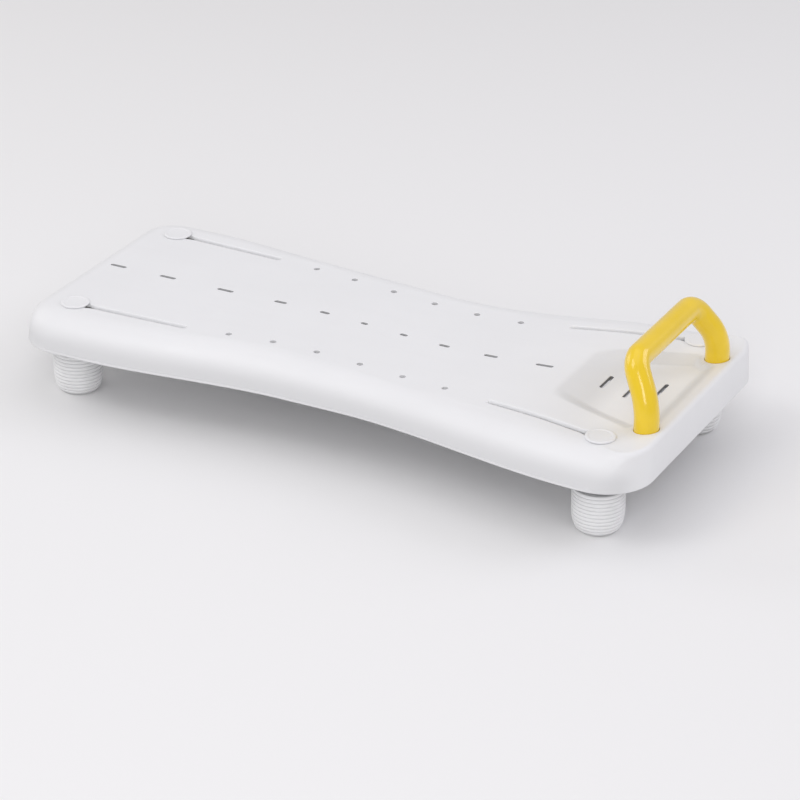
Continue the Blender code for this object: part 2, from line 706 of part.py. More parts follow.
def add_socket_cutters(collection):
    """Round sockets for the handle's legs, with a bolt hole through each shelf."""
    sockets = bmesh.new()
    holes = bmesh.new()
    for _, side in SIDES:
        place = (HALF_LENGTH - HANDLE_END_LAND, side * HANDLE_BASE_Y)
        wide = TUBE_DIAMETER + 2 * SOCKET_GAP
        add_prism(sockets, circle(place, wide, TURN_STEPS), DECK_TOP - SOCKET_DEPTH, DECK_TOP + CUT_MARGIN)
        slim = HANDLE_BOLT_DIAMETER + 2 * FIT
        low = DECK_TOP - SOCKET_DEPTH - SOCKET_SHELF - CUT_MARGIN
        add_prism(holes, circle(place, slim, SMALL_TURN_STEPS), low, DECK_TOP)
    add_cutter("handle_sockets", sockets, collection)
    add_cutter("handle_bolt_holes", holes, collection)


def build_deck(collection, material):
    """Deck: the outer body, less its ribbed hollow, its tray and its openings."""
    ribs = make_collection("deck_rib_bodies")
    cutters = make_collection("deck_cutters")
    hollow_parts = make_collection("deck_hollow")
    add_rib_bodies(ribs)
    rim = DECK_TOP - SKIRT_HEIGHT
    hollow = add_cutter("underside_hollow", lofted_deck(WALL, SKIN, rim - CUT_MARGIN, HOLLOW_STEPS),
                        hollow_parts)
    boolean_collection(hollow, ribs)

    add_cutter("tray_hollow", tray_body(0, 0), cutters)
    add_slot_cutters(cutters)
    add_channel_cutters(cutters)
    add_drain_cutters(cutters)
    add_socket_cutters(cutters)

    outside = mesh_from_bmesh("deck", lofted_deck(0, 0, rim, OUTSIDE_STEPS))
    deck = add_object("deck", outside, collection, material)
    boolean_object(deck, hollow)
    boolean_collection(deck, cutters)
    shade_round(deck.data)


# Clamps and feet

def disc_profile():
    """Low round cap with a raised rim, hollow below over the bolt's head."""
    radius = DISC_DIAMETER / 2
    pocket = BOLT_HEAD_DIAMETER / 2 + FIT
    pocket_top = FIT + BOLT_HEAD_HEIGHT + FIT
    top = FIT + DISC_HEIGHT
    return [
        (0, top - DISC_DISH),
        (radius - DISC_RIM - DISC_SOFT, top - DISC_DISH),
        (radius - DISC_RIM, top),
        (radius - DISC_SOFT, top - DISC_SOFT / 3),
        (radius, FIT + DISC_EDGE_HEIGHT),
        (radius, FIT),
        (pocket, FIT),
        (pocket, pocket_top),
        (0, pocket_top),
    ]


def add_cylinder(bm, radius, low, high, steps):
    """Add an upright cylinder around the Z axis between two levels."""
    place = Matrix.Translation((0, 0, (low + high) / 2))
    bmesh.ops.create_cone(bm, cap_ends=True, segments=steps, radius1=radius, radius2=radius,
                          depth=high - low, matrix=place)


def clamp_bolt_parts():
    """Flat round head, square neck in the slot and a round shank."""
    head = bmesh.new()
    add_cylinder(head, BOLT_HEAD_DIAMETER / 2, FIT, FIT + BOLT_HEAD_HEIGHT, SMALL_TURN_STEPS)
    neck = bmesh.new()
    depth = BOLT_NECK_DEPTH + FIT + BOLT_HEAD_HEIGHT / 2
    add_box(neck, (0, 0, FIT + BOLT_HEAD_HEIGHT / 2 - depth / 2), (1, 0), (BOLT_DIAMETER, BOLT_DIAMETER, depth))
    shank = bmesh.new()
    add_cylinder(shank, BOLT_DIAMETER / 2 - SHANK_RELIEF, -BOLT_LENGTH, -BOLT_NECK_DEPTH / 2, SMALL_TURN_STEPS)
    return head, neck, shank


def shoe_parts():
    """Slide shoe: a key that fills the channel, and a round flange under the rails."""
    width = CHANNEL_WIDTH - 2 * FIT
    key_top = -SHOE_KEY_DEPTH
    flange_top = -RIB_DEPTH - FIT
    flange_low = flange_top - SHOE_FLANGE_THICKNESS
    key = bmesh.new()
    key_low = flange_top - SHOE_FLANGE_THICKNESS / 2
    add_box(key, (0, 0, (key_top + key_low) / 2), (1, 0), (SHOE_LENGTH, width, key_top - key_low))
    flange = bmesh.new()
    add_cylinder(flange, SHOE_FLANGE_DIAMETER / 2, flange_low, flange_top, TURN_STEPS)
    bore = bmesh.new()
    add_prism(bore, circle((0, 0), BOLT_DIAMETER + 2 * FIT, SMALL_TURN_STEPS),
              flange_low - CUT_MARGIN, key_top + CUT_MARGIN)
    return key, flange, bore


def evaluated_mesh(obj, name):
    """Mesh of an object with its modifiers applied, in the object's own frame."""
    graph = bpy.context.evaluated_depsgraph_get()
    mesh = bpy.data.meshes.new_from_object(obj.evaluated_get(graph))
    mesh.name = name
    return mesh


def hub_profile():
    """Threaded hub: top flange, neck and the core inside the sleeve, bored from above."""
    bore = BOLT_DIAMETER / 2 + FIT
    top = -RIB_DEPTH - FIT - SHOE_FLANGE_THICKNESS - FIT
    shoulder = -(STAND_HEIGHT - SLEEVE_HEIGHT)
    low = -STAND_HEIGHT + SLEEVE_SOLE_THICKNESS + FIT
    end = -BOLT_LENGTH - BOLT_END_CLEARANCE
    return [
        (0, end),
        (bore, end),
        (bore, top),
        (HUB_FLANGE_DIAMETER / 2, top),
        (HUB_FLANGE_DIAMETER / 2, top - HUB_FLANGE_THICKNESS),
        (HUB_NECK_DIAMETER / 2, top - HUB_FLANGE_THICKNESS - HUB_NECK_TAPER),
        (HUB_NECK_DIAMETER / 2, shoulder + FIT),
        (HUB_CORE_DIAMETER / 2, shoulder - HUB_CORE_TAPER),
        (HUB_CORE_DIAMETER / 2, low),
        (0, low),
    ]


def sleeve_radius(height):
    """Outer radius of the sleeve at a height above the sole: upright, then rounded in to the sole."""
    full = SLEEVE_DIAMETER / 2
    if height >= SLEEVE_ROUND_HEIGHT:
        return full
    share = 1 - height / SLEEVE_ROUND_HEIGHT
    return full - (full - SLEEVE_SOLE_DIAMETER / 2) * (1 - math.sqrt(max(0.0, 1 - share ** 2.4)))


def sleeve_profile():
    """Ribbed rubber cup: ridges outside, a plain bore inside and a flat sole."""
    sole = -STAND_HEIGHT
    bore = HUB_CORE_DIAMETER / 2 + FIT
    pitch = SLEEVE_HEIGHT / (RIDGE_COUNT + 0.5)
    floor = sole + SLEEVE_SOLE_THICKNESS
    points = [(0, floor), (bore, floor), (bore, sole + SLEEVE_HEIGHT)]
    for k in range(RIDGE_COUNT):
        crest = SLEEVE_HEIGHT - pitch * (k + 0.25)
        valley = SLEEVE_HEIGHT - pitch * (k + 0.75)
        points.append((sleeve_radius(crest), sole + crest))
        points.append((sleeve_radius(valley) - RIDGE_DEPTH, sole + valley))
    points.append((SLEEVE_SOLE_DIAMETER / 2 + SOLE_EDGE, sole + SOLE_EDGE_HEIGHT))
    points.append((SLEEVE_SOLE_DIAMETER / 2, sole))
    points.append((0, sole))
    return points


def build_feet(collection, scratch, materials):
    """Four clamping feet, each on its parked point with its own pieces."""
    head_bm, neck_bm, shank_bm = clamp_bolt_parts()
    bolt_whole = add_cutter("bolt_pattern", head_bm, scratch)
    boolean_object(bolt_whole, add_cutter("bolt_neck", neck_bm, scratch), "UNION")
    boolean_object(bolt_whole, add_cutter("bolt_shank", shank_bm, scratch), "UNION")
    key_bm, flange_bm, bore_bm = shoe_parts()
    shoe_whole = add_cutter("shoe_pattern", key_bm, scratch)
    boolean_object(shoe_whole, add_cutter("shoe_flange", flange_bm, scratch), "UNION")
    boolean_object(shoe_whole, add_cutter("shoe_bore", bore_bm, scratch))
    bolt_shape = evaluated_mesh(bolt_whole, "clamp_bolt")
    bolt_shape.materials.append(materials["steel"])
    shoe_shape = evaluated_mesh(shoe_whole, "slide_shoe")
    shoe_shape.materials.append(materials["nylon"])
    disc_shape = turned_mesh("clamp_disc", disc_profile(), False)
    disc_shape.materials.append(materials["white"])
    hub_shape = turned_mesh("foot_hub", hub_profile(), False)
    hub_shape.materials.append(materials["charcoal"])
    sleeve_shape = turned_mesh("foot_sleeve", sleeve_profile(), False)
    sleeve_shape.materials.append(materials["rubber"])

    for label, end, side in FEET:
        start, _, along, _ = slot_line(end, side)
        carrier = bpy.data.objects.new("foot_axis_" + label, None)
        carrier.empty_display_size = 0.02
        carrier.location = (start.x, start.y, DECK_TOP)
        carrier.rotation_euler = (0, 0, math.atan2(along.y, along.x))
        collection.objects.link(carrier)
        pieces = [
            (add_object("clamp_disc_" + label, disc_shape, collection), TURN_STEPS),
            (add_object("clamp_bolt_" + label, bolt_shape, collection), None),
            (add_object("slide_shoe_" + label, shoe_shape, collection), None),
            (add_object("foot_hub_" + label, hub_shape, collection), FOOT_TURN_STEPS),
            (add_object("foot_sleeve_" + label, sleeve_shape, collection), FOOT_TURN_STEPS),
        ]
        for piece, steps in pieces:
            piece.parent = carrier
            if steps:
                turn(piece, steps)


# Handle

def bend_points(before, corner, after, radius, steps):
    """Points on an arc that rounds the corner between two straight runs."""
    towards = (before - corner).normalized()
    away = (after - corner).normalized()
    opening = towards.angle(away)
    reach = radius / math.tan(opening / 2)
    centre = corner + (towards + away).normalized() * (radius / math.sin(opening / 2))
    first = corner + towards * reach - centre
    last = corner + away * reach - centre
    sweep = first.angle(last)
    points = []
    for k in range(steps + 1):
        share = k / steps
        mix = (first * math.sin((1 - share) * sweep) + last * math.sin(share * sweep)) / math.sin(sweep)
        points.append(centre + mix)
    return points


def handle_path():
    """Axis of the handle from the front leg's lower end, over the grip, to the back leg's."""
    base_x = HALF_LENGTH - HANDLE_END_LAND
    low = DECK_TOP - SOCKET_DEPTH + FIT + INSERT_FLANGE_THICKNESS + FIT
    foot = Vector((base_x, -HANDLE_BASE_Y, low))
    knee = Vector((base_x, -HANDLE_BASE_Y, DECK_TOP + LEG_KNEE_HEIGHT))
    corner = Vector((base_x - HANDLE_LEAN, -HANDLE_CORNER_Y, DECK_TOP + GRIP_HEIGHT))
    across = Vector((corner.x, HANDLE_CORNER_Y, corner.z))
    half = [foot] + bend_points(foot, knee, corner, KNEE_RADIUS, 2)
    half += bend_points(knee, corner, across, CORNER_BEND_RADIUS, BEND_STEPS)
    other = [Vector((p.x, -p.y, p.z)) for p in reversed(half)]
    return half + other


def tube_mesh(name, points, diameter, resolution):
    """Closed mesh of a round bar along a path, made from a bevelled curve."""
    curve = bpy.data.curves.new(name, "CURVE")
    curve.dimensions = "3D"
    curve.bevel_depth = diameter / 2
    curve.bevel_resolution = resolution
    curve.use_fill_caps = True
    spline = curve.splines.new("POLY")
    spline.points.add(len(points) - 1)
    for target, point in zip(spline.points, points):
        target.co = (*point, 1.0)
    holder = bpy.data.objects.new(name, curve)
    bpy.context.scene.collection.objects.link(holder)
    bpy.context.view_layer.update()
    mesh = evaluated_mesh(holder, name)
    mesh.transform(holder.matrix_world)
    bpy.data.objects.remove(holder, do_unlink=True)
    bm = bmesh.new()
    bm.from_mesh(mesh)
    bmesh.ops.remove_doubles(bm, verts=bm.verts, dist=0.00001)
    bmesh.ops.recalc_face_normals(bm, faces=bm.faces)
    bm.to_mesh(mesh)
    bm.free()
    return mesh


def build_handle(collection, scratch, materials):
    """Bent tube with an end insert, bolt and washer in each leg."""
    path = handle_path()
    outer = tube_mesh("handle_tube", path, TUBE_DIAMETER, TUBE_BEVEL_RESOLUTION)
    tube = add_object("handle_tube", outer, collection, materials["yellow"])
    past = Vector((0, 0, CUT_MARGIN))
    inner_path = [path[0] - past] + path[1:-1] + [path[-1] - past]
    bore_mesh = tube_mesh("handle_bore", inner_path, TUBE_DIAMETER - 2 * TUBE_WALL, BORE_BEVEL_RESOLUTION)
    bore = add_object("handle_bore", bore_mesh, scratch)
    bore.hide_render = True
    bore.display_type = "WIRE"
    boolean_object(tube, bore)
    shade_round(outer)

    shelf = -SOCKET_DEPTH
    under = shelf - SOCKET_SHELF
    bore_radius = HANDLE_BOLT_DIAMETER / 2 + FIT
    plug_radius = TUBE_DIAMETER / 2 - TUBE_WALL - FIT
    flange_top = shelf + FIT + INSERT_FLANGE_THICKNESS
    insert = [
        (bore_radius, shelf + INSERT_LENGTH),
        (plug_radius - INSERT_TAPER, shelf + INSERT_LENGTH),
        (plug_radius - INSERT_EASE, flange_top),
        (TUBE_DIAMETER / 2, flange_top),
        (TUBE_DIAMETER / 2, shelf + FIT),
        (bore_radius, shelf + FIT),
    ]
    washer = [
        (bore_radius, under - FIT),
        (WASHER_DIAMETER / 2, under - FIT),
        (WASHER_DIAMETER / 2, under - FIT - WASHER_THICKNESS),
        (bore_radius, under - FIT - WASHER_THICKNESS),
    ]
    head_top = under - FIT - WASHER_THICKNESS - FIT
    for label, side in SIDES:
        place = (HALF_LENGTH - HANDLE_END_LAND, side * HANDLE_BASE_Y, DECK_TOP)
        add_turned("handle_insert_" + label, insert, SMALL_TURN_STEPS, place, collection,
                   materials["nylon"], closed=True)
        add_turned("handle_washer_" + label, washer, SMALL_TURN_STEPS, place, collection,
                   materials["steel"], closed=True)
        bm = bmesh.new()
        reach = HANDLE_BOLT_HEAD_WIDTH / 2 / math.cos(math.pi / 6)
        add_cylinder(bm, reach, head_top - HANDLE_BOLT_HEAD_HEIGHT, head_top, 6)
        bolt = add_object("handle_bolt_" + label, mesh_from_bmesh("handle_bolt", bm), collection,
                          materials["steel"])
        bolt.location = place
        shank_bm = bmesh.new()
        shank_low = head_top - HANDLE_BOLT_HEAD_HEIGHT / 2
        shank_high = shelf + HANDLE_BOLT_REACH
        add_prism(shank_bm, circle((0, 0), HANDLE_BOLT_DIAMETER, SMALL_TURN_STEPS), shank_low, shank_high)
        shank = add_cutter("handle_shank_" + label, shank_bm, scratch)
        shank.location = place
        boolean_object(bolt, shank, "UNION")


def main():
    """Build every piece of the bath board."""
    clear_scene()
    parts = make_collection("bath_board")
    scratch = make_collection("shape_patterns")
    materials = {
        "white": make_material("white_plastic", (0.80, 0.81, 0.83), 0.42),
        "charcoal": make_material("charcoal_plastic", (0.06, 0.06, 0.065), 0.5),
        "rubber": make_material("pale_rubber", (0.76, 0.77, 0.78), 0.65),
        "nylon": make_material("natural_nylon", (0.70, 0.69, 0.65), 0.5),
        "steel": make_material("stainless_steel", (0.60, 0.60, 0.61), 0.3, 1.0),
        "yellow": make_material("yellow_plastic", (0.86, 0.60, 0.02), 0.25),
    }
    build_deck(parts, materials["white"])
    build_feet(parts, scratch, materials)
    build_handle(parts, scratch, materials)


main()
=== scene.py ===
"""Bath board: a moulded white deck with a soap tray, a yellow grab handle and four clamping feet.

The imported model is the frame. Each visible piece is worked out here as a fine surface in the same
metres and places, rides on its body, and gets its own procedural finish.
Axes: +X runs along the board towards the handle, +Y across it to the far side, +Z up.
"""
from __future__ import annotations

import json
import logging
import math
from dataclasses import dataclass
from enum import Enum

import bmesh
import bpy
import numpy as np
from mathutils import Matrix, Vector

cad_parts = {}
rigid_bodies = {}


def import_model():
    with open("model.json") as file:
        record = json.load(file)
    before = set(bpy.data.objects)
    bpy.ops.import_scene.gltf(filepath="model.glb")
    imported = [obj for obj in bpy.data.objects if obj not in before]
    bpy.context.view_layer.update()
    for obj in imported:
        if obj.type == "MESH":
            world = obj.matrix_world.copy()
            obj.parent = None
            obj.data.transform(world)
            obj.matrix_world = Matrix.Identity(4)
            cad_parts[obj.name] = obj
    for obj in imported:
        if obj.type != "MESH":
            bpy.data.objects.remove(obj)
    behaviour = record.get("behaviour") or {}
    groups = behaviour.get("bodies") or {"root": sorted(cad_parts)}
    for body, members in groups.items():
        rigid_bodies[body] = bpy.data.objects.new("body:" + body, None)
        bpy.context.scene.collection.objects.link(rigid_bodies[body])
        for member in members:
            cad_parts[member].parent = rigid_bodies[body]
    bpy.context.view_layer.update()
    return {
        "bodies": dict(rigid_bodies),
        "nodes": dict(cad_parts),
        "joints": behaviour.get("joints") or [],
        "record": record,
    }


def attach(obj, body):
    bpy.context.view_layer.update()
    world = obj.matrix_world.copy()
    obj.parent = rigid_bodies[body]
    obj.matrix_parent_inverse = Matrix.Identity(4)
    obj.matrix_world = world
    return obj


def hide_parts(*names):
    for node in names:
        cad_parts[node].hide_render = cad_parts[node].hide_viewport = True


LOG = logging.getLogger("bath_board")
PAINTED_SHADE = "painted_shade"  # point attribute: how much painted shade a drain's wall or a slope of the tray gets
PAINTED_GLOW = "painted_glow"  # point attribute: how much painted light the foot slots' walls give off as emission
FIT = 0.0003  # gap between pieces that meet
MARGIN = 0.010  # how far a cutting body reaches past what it cuts
OVERLAP = 0.001  # how far a cut runs into the one above it
TINY = 1e-9  # settles the sign of a zero
AIM = (0.0, 0.0, 0.05)  # point that the lights face

TURN_STEPS = 64  # stretches around a turned shape
FINE_STEPS = 72  # around a shape that is seen from close by
BAR_STEPS = 48  # around a bolt or the tube
HEXAGON_STEPS = 96  # around a six-sided head, a multiple of six
QUARTER = np.linspace(0.0, math.pi / 2, 5)  # angles along a small quarter circle

Triple = tuple[float, float, float]
Colour = Triple
EVEN: Triple = (1.0, 1.0, 1.0)
BLACK: Colour = (0.0, 0.0, 0.0)


# Shapes as functions of numbers

def ease(share: np.ndarray | float) -> np.ndarray:
    """Ease from 0 to 1 with level ends: 3t^2 - 2t^3, held outside 0 to 1.

    Args:
        share: Place between the two ends.

    Returns:
        The eased share.
    """
    share = np.clip(share, 0.0, 1.0)
    return share * share * (3.0 - 2.0 * share)


def hump(place: np.ndarray | float) -> np.ndarray:
    """Round hump (1 - t^2)^2 that is 1 at 0 and meets zero level at -1 and 1.

    Args:
        place: Place across the hump, from -1 to 1.

    Returns:
        Height of the hump.
    """
    return (1.0 - np.clip(place, -1.0, 1.0) ** 2) ** 2


def soften(profile: np.ndarray, reach: float, steps: int = 4, most: float = 0.45) -> np.ndarray:
    """Round the corners of a line of (radius, height) points.

    Each inner corner B between A and C becomes the curve (1-t)^2 A' + 2t(1-t) B + t^2 C', where A'
    and C' lie on the two runs at the reach from B, or nearer on a short run.

    Args:
        profile: Points of the line, one row each.
        reach: How far from a corner its round begins.
        steps: Stretches along each round.
        most: Largest share of a run that a round takes.

    Returns:
        The points of the rounded line.
    """
    before = profile[:-2] - profile[1:-1]
    after = profile[2:] - profile[1:-1]
    length_before = np.linalg.norm(before, axis=1, keepdims=True)
    length_after = np.linalg.norm(after, axis=1, keepdims=True)
    first = profile[1:-1] + before / length_before * np.minimum(reach, most * length_before)
    last = profile[1:-1] + after / length_after * np.minimum(reach, most * length_after)
    t = np.linspace(0.0, 1.0, steps + 1)[None, :, None]
    corner = profile[1:-1][:, None, :]
    curve = ((1 - t) ** 2 * first[:, None, :] + 2 * t * (1 - t) * corner
             + t ** 2 * last[:, None, :])
    return np.vstack([profile[:1], curve.reshape(-1, 2), profile[-1:]])


def around(steps: int) -> np.ndarray:
    """Even angles around a full turn; a number of steps in, one angle for each out."""
    return 2 * math.pi * np.arange(steps) / steps


def circle(centre: tuple[float, float], radius: float, steps: int = 32) -> np.ndarray:
    """Circle in plan, anticlockwise: centre + radius (cos a, sin a).

    Args:
        centre: Middle of the circle.
        radius: Its radius.
        steps: Number of points.

    Returns:
        One point for each row.
    """
    angle = around(steps)
    return np.column_stack([centre[0] + radius * np.cos(angle), centre[1] + radius * np.sin(angle)])


def stadium(start: tuple[float, float], end: tuple[float, float], width: float,
            steps: int = 10) -> np.ndarray:
    """Slot outline with round ends: two half circles around the ends, joined by straight sides.

    Args:
        start: Middle of the first round end.
        end: Middle of the second round end.
        width: Width of the slot.
        steps: Stretches around each end.

    Returns:
        Anticlockwise outline points.
    """
    heading = math.atan2(end[1] - start[1], end[0] - start[0])
    turn = math.pi * np.arange(steps + 1) / steps - math.pi / 2
    halves = []
    for centre, facing in ((end, heading), (start, heading + math.pi)):
        halves.append(np.column_stack([
            centre[0] + width / 2 * np.cos(facing + turn),
            centre[1] + width / 2 * np.sin(facing + turn),
        ]))
    return np.vstack(halves)


def outward(outline: np.ndarray) -> np.ndarray:
    """Unit directions that point out of a closed anticlockwise outline.

    Args:
        outline: Points of the outline.

    Returns:
        For each point the line between its neighbours, turned a quarter clockwise.
    """
    along = np.roll(outline, -1, axis=0) - np.roll(outline, 1, axis=0)
    out = np.column_stack([along[:, 1], -along[:, 0]])
    return out / np.linalg.norm(out, axis=1, keepdims=True)


def thread(start: float, stop: float, pitch: float, crest: float, depth: float) -> np.ndarray:
    """Threaded run of a profile: crests and valleys in turn, half a pitch apart.

    Args:
        start: Height where the run starts; the first point lies half a pitch on.
        stop: Height that it doesn't pass, above or below the start.
        pitch: Height of one turn.
        crest: Radius of the crests.
        depth: How much smaller the valleys are.

    Returns:
        (radius, height) points.
    """
    heights = np.arange(start, stop, math.copysign(pitch / 2, stop - start))[1:]
    return np.column_stack([crest - depth * (np.arange(len(heights)) % 2), heights])


# Meshes

def quads(rows: int, columns: int) -> np.ndarray:
    """Faces of a grid of points, numbered row by row, whose rows close on themselves.

    Args:
        rows: Number of rows of points.
        columns: Number of points in a row.

    Returns:
        Four point numbers for each face, anticlockwise seen from outside a rising wall.
    """
    lower = np.arange(rows - 1)[:, None] * columns
    here = np.arange(columns)[None, :]
    there = (here + 1) % columns
    upper = lower + columns
    faces = np.stack([lower + here, lower + there, upper + there, upper + here], axis=-1)
    return faces.reshape(-1, 4)


def make_mesh(name: str, points: np.ndarray, faces: list) -> bpy.types.Mesh:
    """Mesh from points and faces.

    Args:
        name: Name of the mesh.
        points: One point for each row.
        faces: Arrays of faces with four corners, or single faces as lists.

    Returns:
        The new mesh.
    """
    lists: list = []
    for group in faces:
        lists += group.tolist() if isinstance(group, np.ndarray) and group.ndim == 2 else [list(group)]
    mesh = bpy.data.meshes.new(name)
    mesh.from_pydata(points.reshape(-1, 3).tolist(), [], lists)
    mesh.update()
    return mesh


def merged(mesh: bpy.types.Mesh, distance: float = 1e-6) -> bpy.types.Mesh:
    """Merge the doubled points of a mesh, so that seams and poles are closed.

    Args:
        mesh: Mesh to change.
        distance: Points nearer than this become one.

    Returns:
        The same mesh.
    """
    bm = bmesh.new()
    bm.from_mesh(mesh)
    bmesh.ops.remove_doubles(bm, verts=bm.verts, dist=distance)
    bmesh.ops.recalc_face_normals(bm, faces=bm.faces)
    bm.to_mesh(mesh)
    bm.free()
    return mesh


def turned(name: str, profile: np.ndarray, steps: int = TURN_STEPS, ring: bool = False
           ) -> bpy.types.Mesh:
    """Turn a profile around the Z axis: (r cos a, r sin a, z) for each angle a.

    Args:
        name: Name of the mesh.
        profile: (radius, height) points.
        steps: Stretches around the axis.
        ring: Whether the profile closes on itself around a hole.

    Returns:
        A closed mesh.
    """
    if ring:
        profile = np.vstack([profile, profile[:1]])
    radii = np.repeat(profile[:, :1], steps, axis=1)
    return column(name, radii, profile[:, 1])


def column(name: str, radii: np.ndarray, heights: np.ndarray) -> bpy.types.Mesh:
    """Upright shape whose radius changes with height and with the angle around the Z axis.

    Args:
        name: Name of the mesh.
        radii: One row for each height and one column for each angle.
        heights: Height of each row.

    Returns:
        A closed mesh. Rows of radius 0 become poles.
    """
    rows, steps = radii.shape
    angle = around(steps)
    points = np.stack([
        radii * np.cos(angle),
        radii * np.sin(angle),
        np.repeat(np.asarray(heights)[:, None], steps, axis=1),
    ], axis=-1)
    return merged(make_mesh(name, points, [quads(rows, steps)]))


def stacked(name: str, outline: np.ndarray, offsets: np.ndarray, levels: np.ndarray
            ) -> bpy.types.Mesh:
    """Body made of copies of an outline, each moved out by an offset, on top of one another.

    Args:
        name: Name of the mesh.
        outline: Closed anticlockwise outline in plan.
        offsets: How far each copy stands out of the outline.
        levels: Height of each copy, rising, as one number or one for each outline point.

    Returns:
        A closed mesh with flat ends.
    """
    count = len(outline)
    plan = outline[None] + outward(outline)[None] * np.asarray(offsets)[:, None, None]
    levels = np.asarray(levels, float).reshape(len(offsets), -1)
    levels = np.broadcast_to(levels, (len(offsets), count))
    points = np.concatenate([plan, levels[..., None]], axis=-1)
    top = np.arange(count) + (len(offsets) - 1) * count
    return make_mesh(name, points, [quads(len(offsets), count), np.arange(count)[::-1], top])


def joined(name: str, meshes: list[bpy.types.Mesh]) -> bpy.types.Mesh:
    """One mesh that holds several separate bodies.

    Args:
        name: Name of the new mesh.
        meshes: Meshes that don't touch one another.

    Returns:
        The new mesh.
    """
    bm = bmesh.new()
    for mesh in meshes:
        bm.from_mesh(mesh)
    whole = bpy.data.meshes.new(name)
    bm.to_mesh(whole)
    bm.free()
    for mesh in meshes:
        bpy.data.meshes.remove(mesh)
    return whole


class Cut(Enum):
    """What a second body does to a first one."""

    TAKE_AWAY = "DIFFERENCE"
    ADD = "UNION"


def worked(base: bpy.types.Mesh, *steps: tuple[Cut, bpy.types.Mesh]) -> bpy.types.Mesh:
    """Work a body with others, one after another.

    Args:
        base: Mesh of the body.
        *steps: What to do, and the mesh to do it with.

    Returns:
        A new mesh, with the helpers removed.
    """
    scene = bpy.context.scene
    holder = bpy.data.objects.new(base.name, base)
    scene.collection.objects.link(holder)
    helpers = []
    for cut, mesh in steps:
        helper = bpy.data.objects.new(mesh.name, mesh)
        scene.collection.objects.link(helper)
        helpers.append(helper)
        modifier = holder.modifiers.new(mesh.name, "BOOLEAN")
        modifier.operation = cut.value
        modifier.solver = "MANIFOLD"
        modifier.object = helper
    bpy.context.view_layer.update()
    graph = bpy.context.evaluated_depsgraph_get()
    result = bpy.data.meshes.new_from_object(holder.evaluated_get(graph))
    result.name = base.name
    for obj in [holder, *helpers]:
        mesh = obj.data
        bpy.data.objects.remove(obj, do_unlink=True)
        bpy.data.meshes.remove(mesh)
    return result


def placed(mesh: bpy.types.Mesh, matrix: Matrix) -> bpy.types.Mesh:
    """Move a mesh's points to their place; a matrix in, the same mesh out."""
    mesh.transform(matrix)
    return mesh


def add_piece(name: str, mesh: bpy.types.Mesh, finish: "Finish", body: str,
              stands_for: tuple[str, ...], sharp: float = 35.0) -> bpy.types.Object:
    """Put a finished piece into the scene, on its body.

    Args:
        name: Name of the piece.
        mesh: Its mesh, in place.
        finish: Its finish.
        body: Body that it rides on.
        stands_for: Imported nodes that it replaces.
        sharp: Edges that turn by more degrees than this stay sharp.

    Returns:
        The new object.
    """
    mesh.name = name
    mesh.materials.clear()
    mesh.materials.append(finish.material())
    mesh.shade_smooth()
    mesh.set_sharp_from_angle(angle=math.radians(sharp))
    obj = bpy.data.objects.new(name, mesh)
    bpy.context.scene.collection.objects.link(obj)
    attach(obj, body)
    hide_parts(*stands_for)
    LOG.info("%s: %d faces, on %s", name, len(mesh.polygons), body)
    return obj


# Shader expressions

class Value:
    """A number or colour that a shader works out, with the usual operators on numbers."""

    def __init__(self, recipe: "Recipe", socket: bpy.types.NodeSocket) -> None:
        """Keep the recipe and the socket that the value comes from."""
        self.recipe = recipe
        self.socket = socket

    def _work(self, operation: str, *inputs: "Value | float") -> "Value":
        """Math node with the given inputs; returns its result."""
        return self.recipe.add("ShaderNodeMath", {"operation": operation}, dict(enumerate(inputs)))

    def __add__(self, other: "Value | float") -> "Value":
        """Sum."""
        return self._work("ADD", self, other)

    def __radd__(self, other: float) -> "Value":
        """Sum with a number first."""
        return self._work("ADD", other, self)

    def __sub__(self, other: "Value | float") -> "Value":
        """Difference."""
        return self._work("SUBTRACT", self, other)

    def __rsub__(self, other: float) -> "Value":
        """Difference with a number first."""
        return self._work("SUBTRACT", other, self)

    def __mul__(self, other: "Value | float") -> "Value":
        """Product."""
        return self._work("MULTIPLY", self, other)

    def __rmul__(self, other: float) -> "Value":
        """Product with a number first."""
        return self._work("MULTIPLY", other, self)

    def __abs__(self) -> "Value":
        """Size without its sign."""
        return self._work("ABSOLUTE", self)

    def step(self, low: float, high: float) -> "Value":
        """Smooth step from 0 at low to 1 at high.

        Args:
            low: Where the step starts.
            high: Where it ends; it may lie below low.

        Returns:
            The step, held at 0 and 1 outside.
        """
        flip = high < low
        result = self.recipe.add(
            "ShaderNodeMapRange", {"interpolation_type": "SMOOTHSTEP"},
            {"Value": self, "From Min": min(low, high), "From Max": max(low, high)},
        )
        return 1.0 - result if flip else result


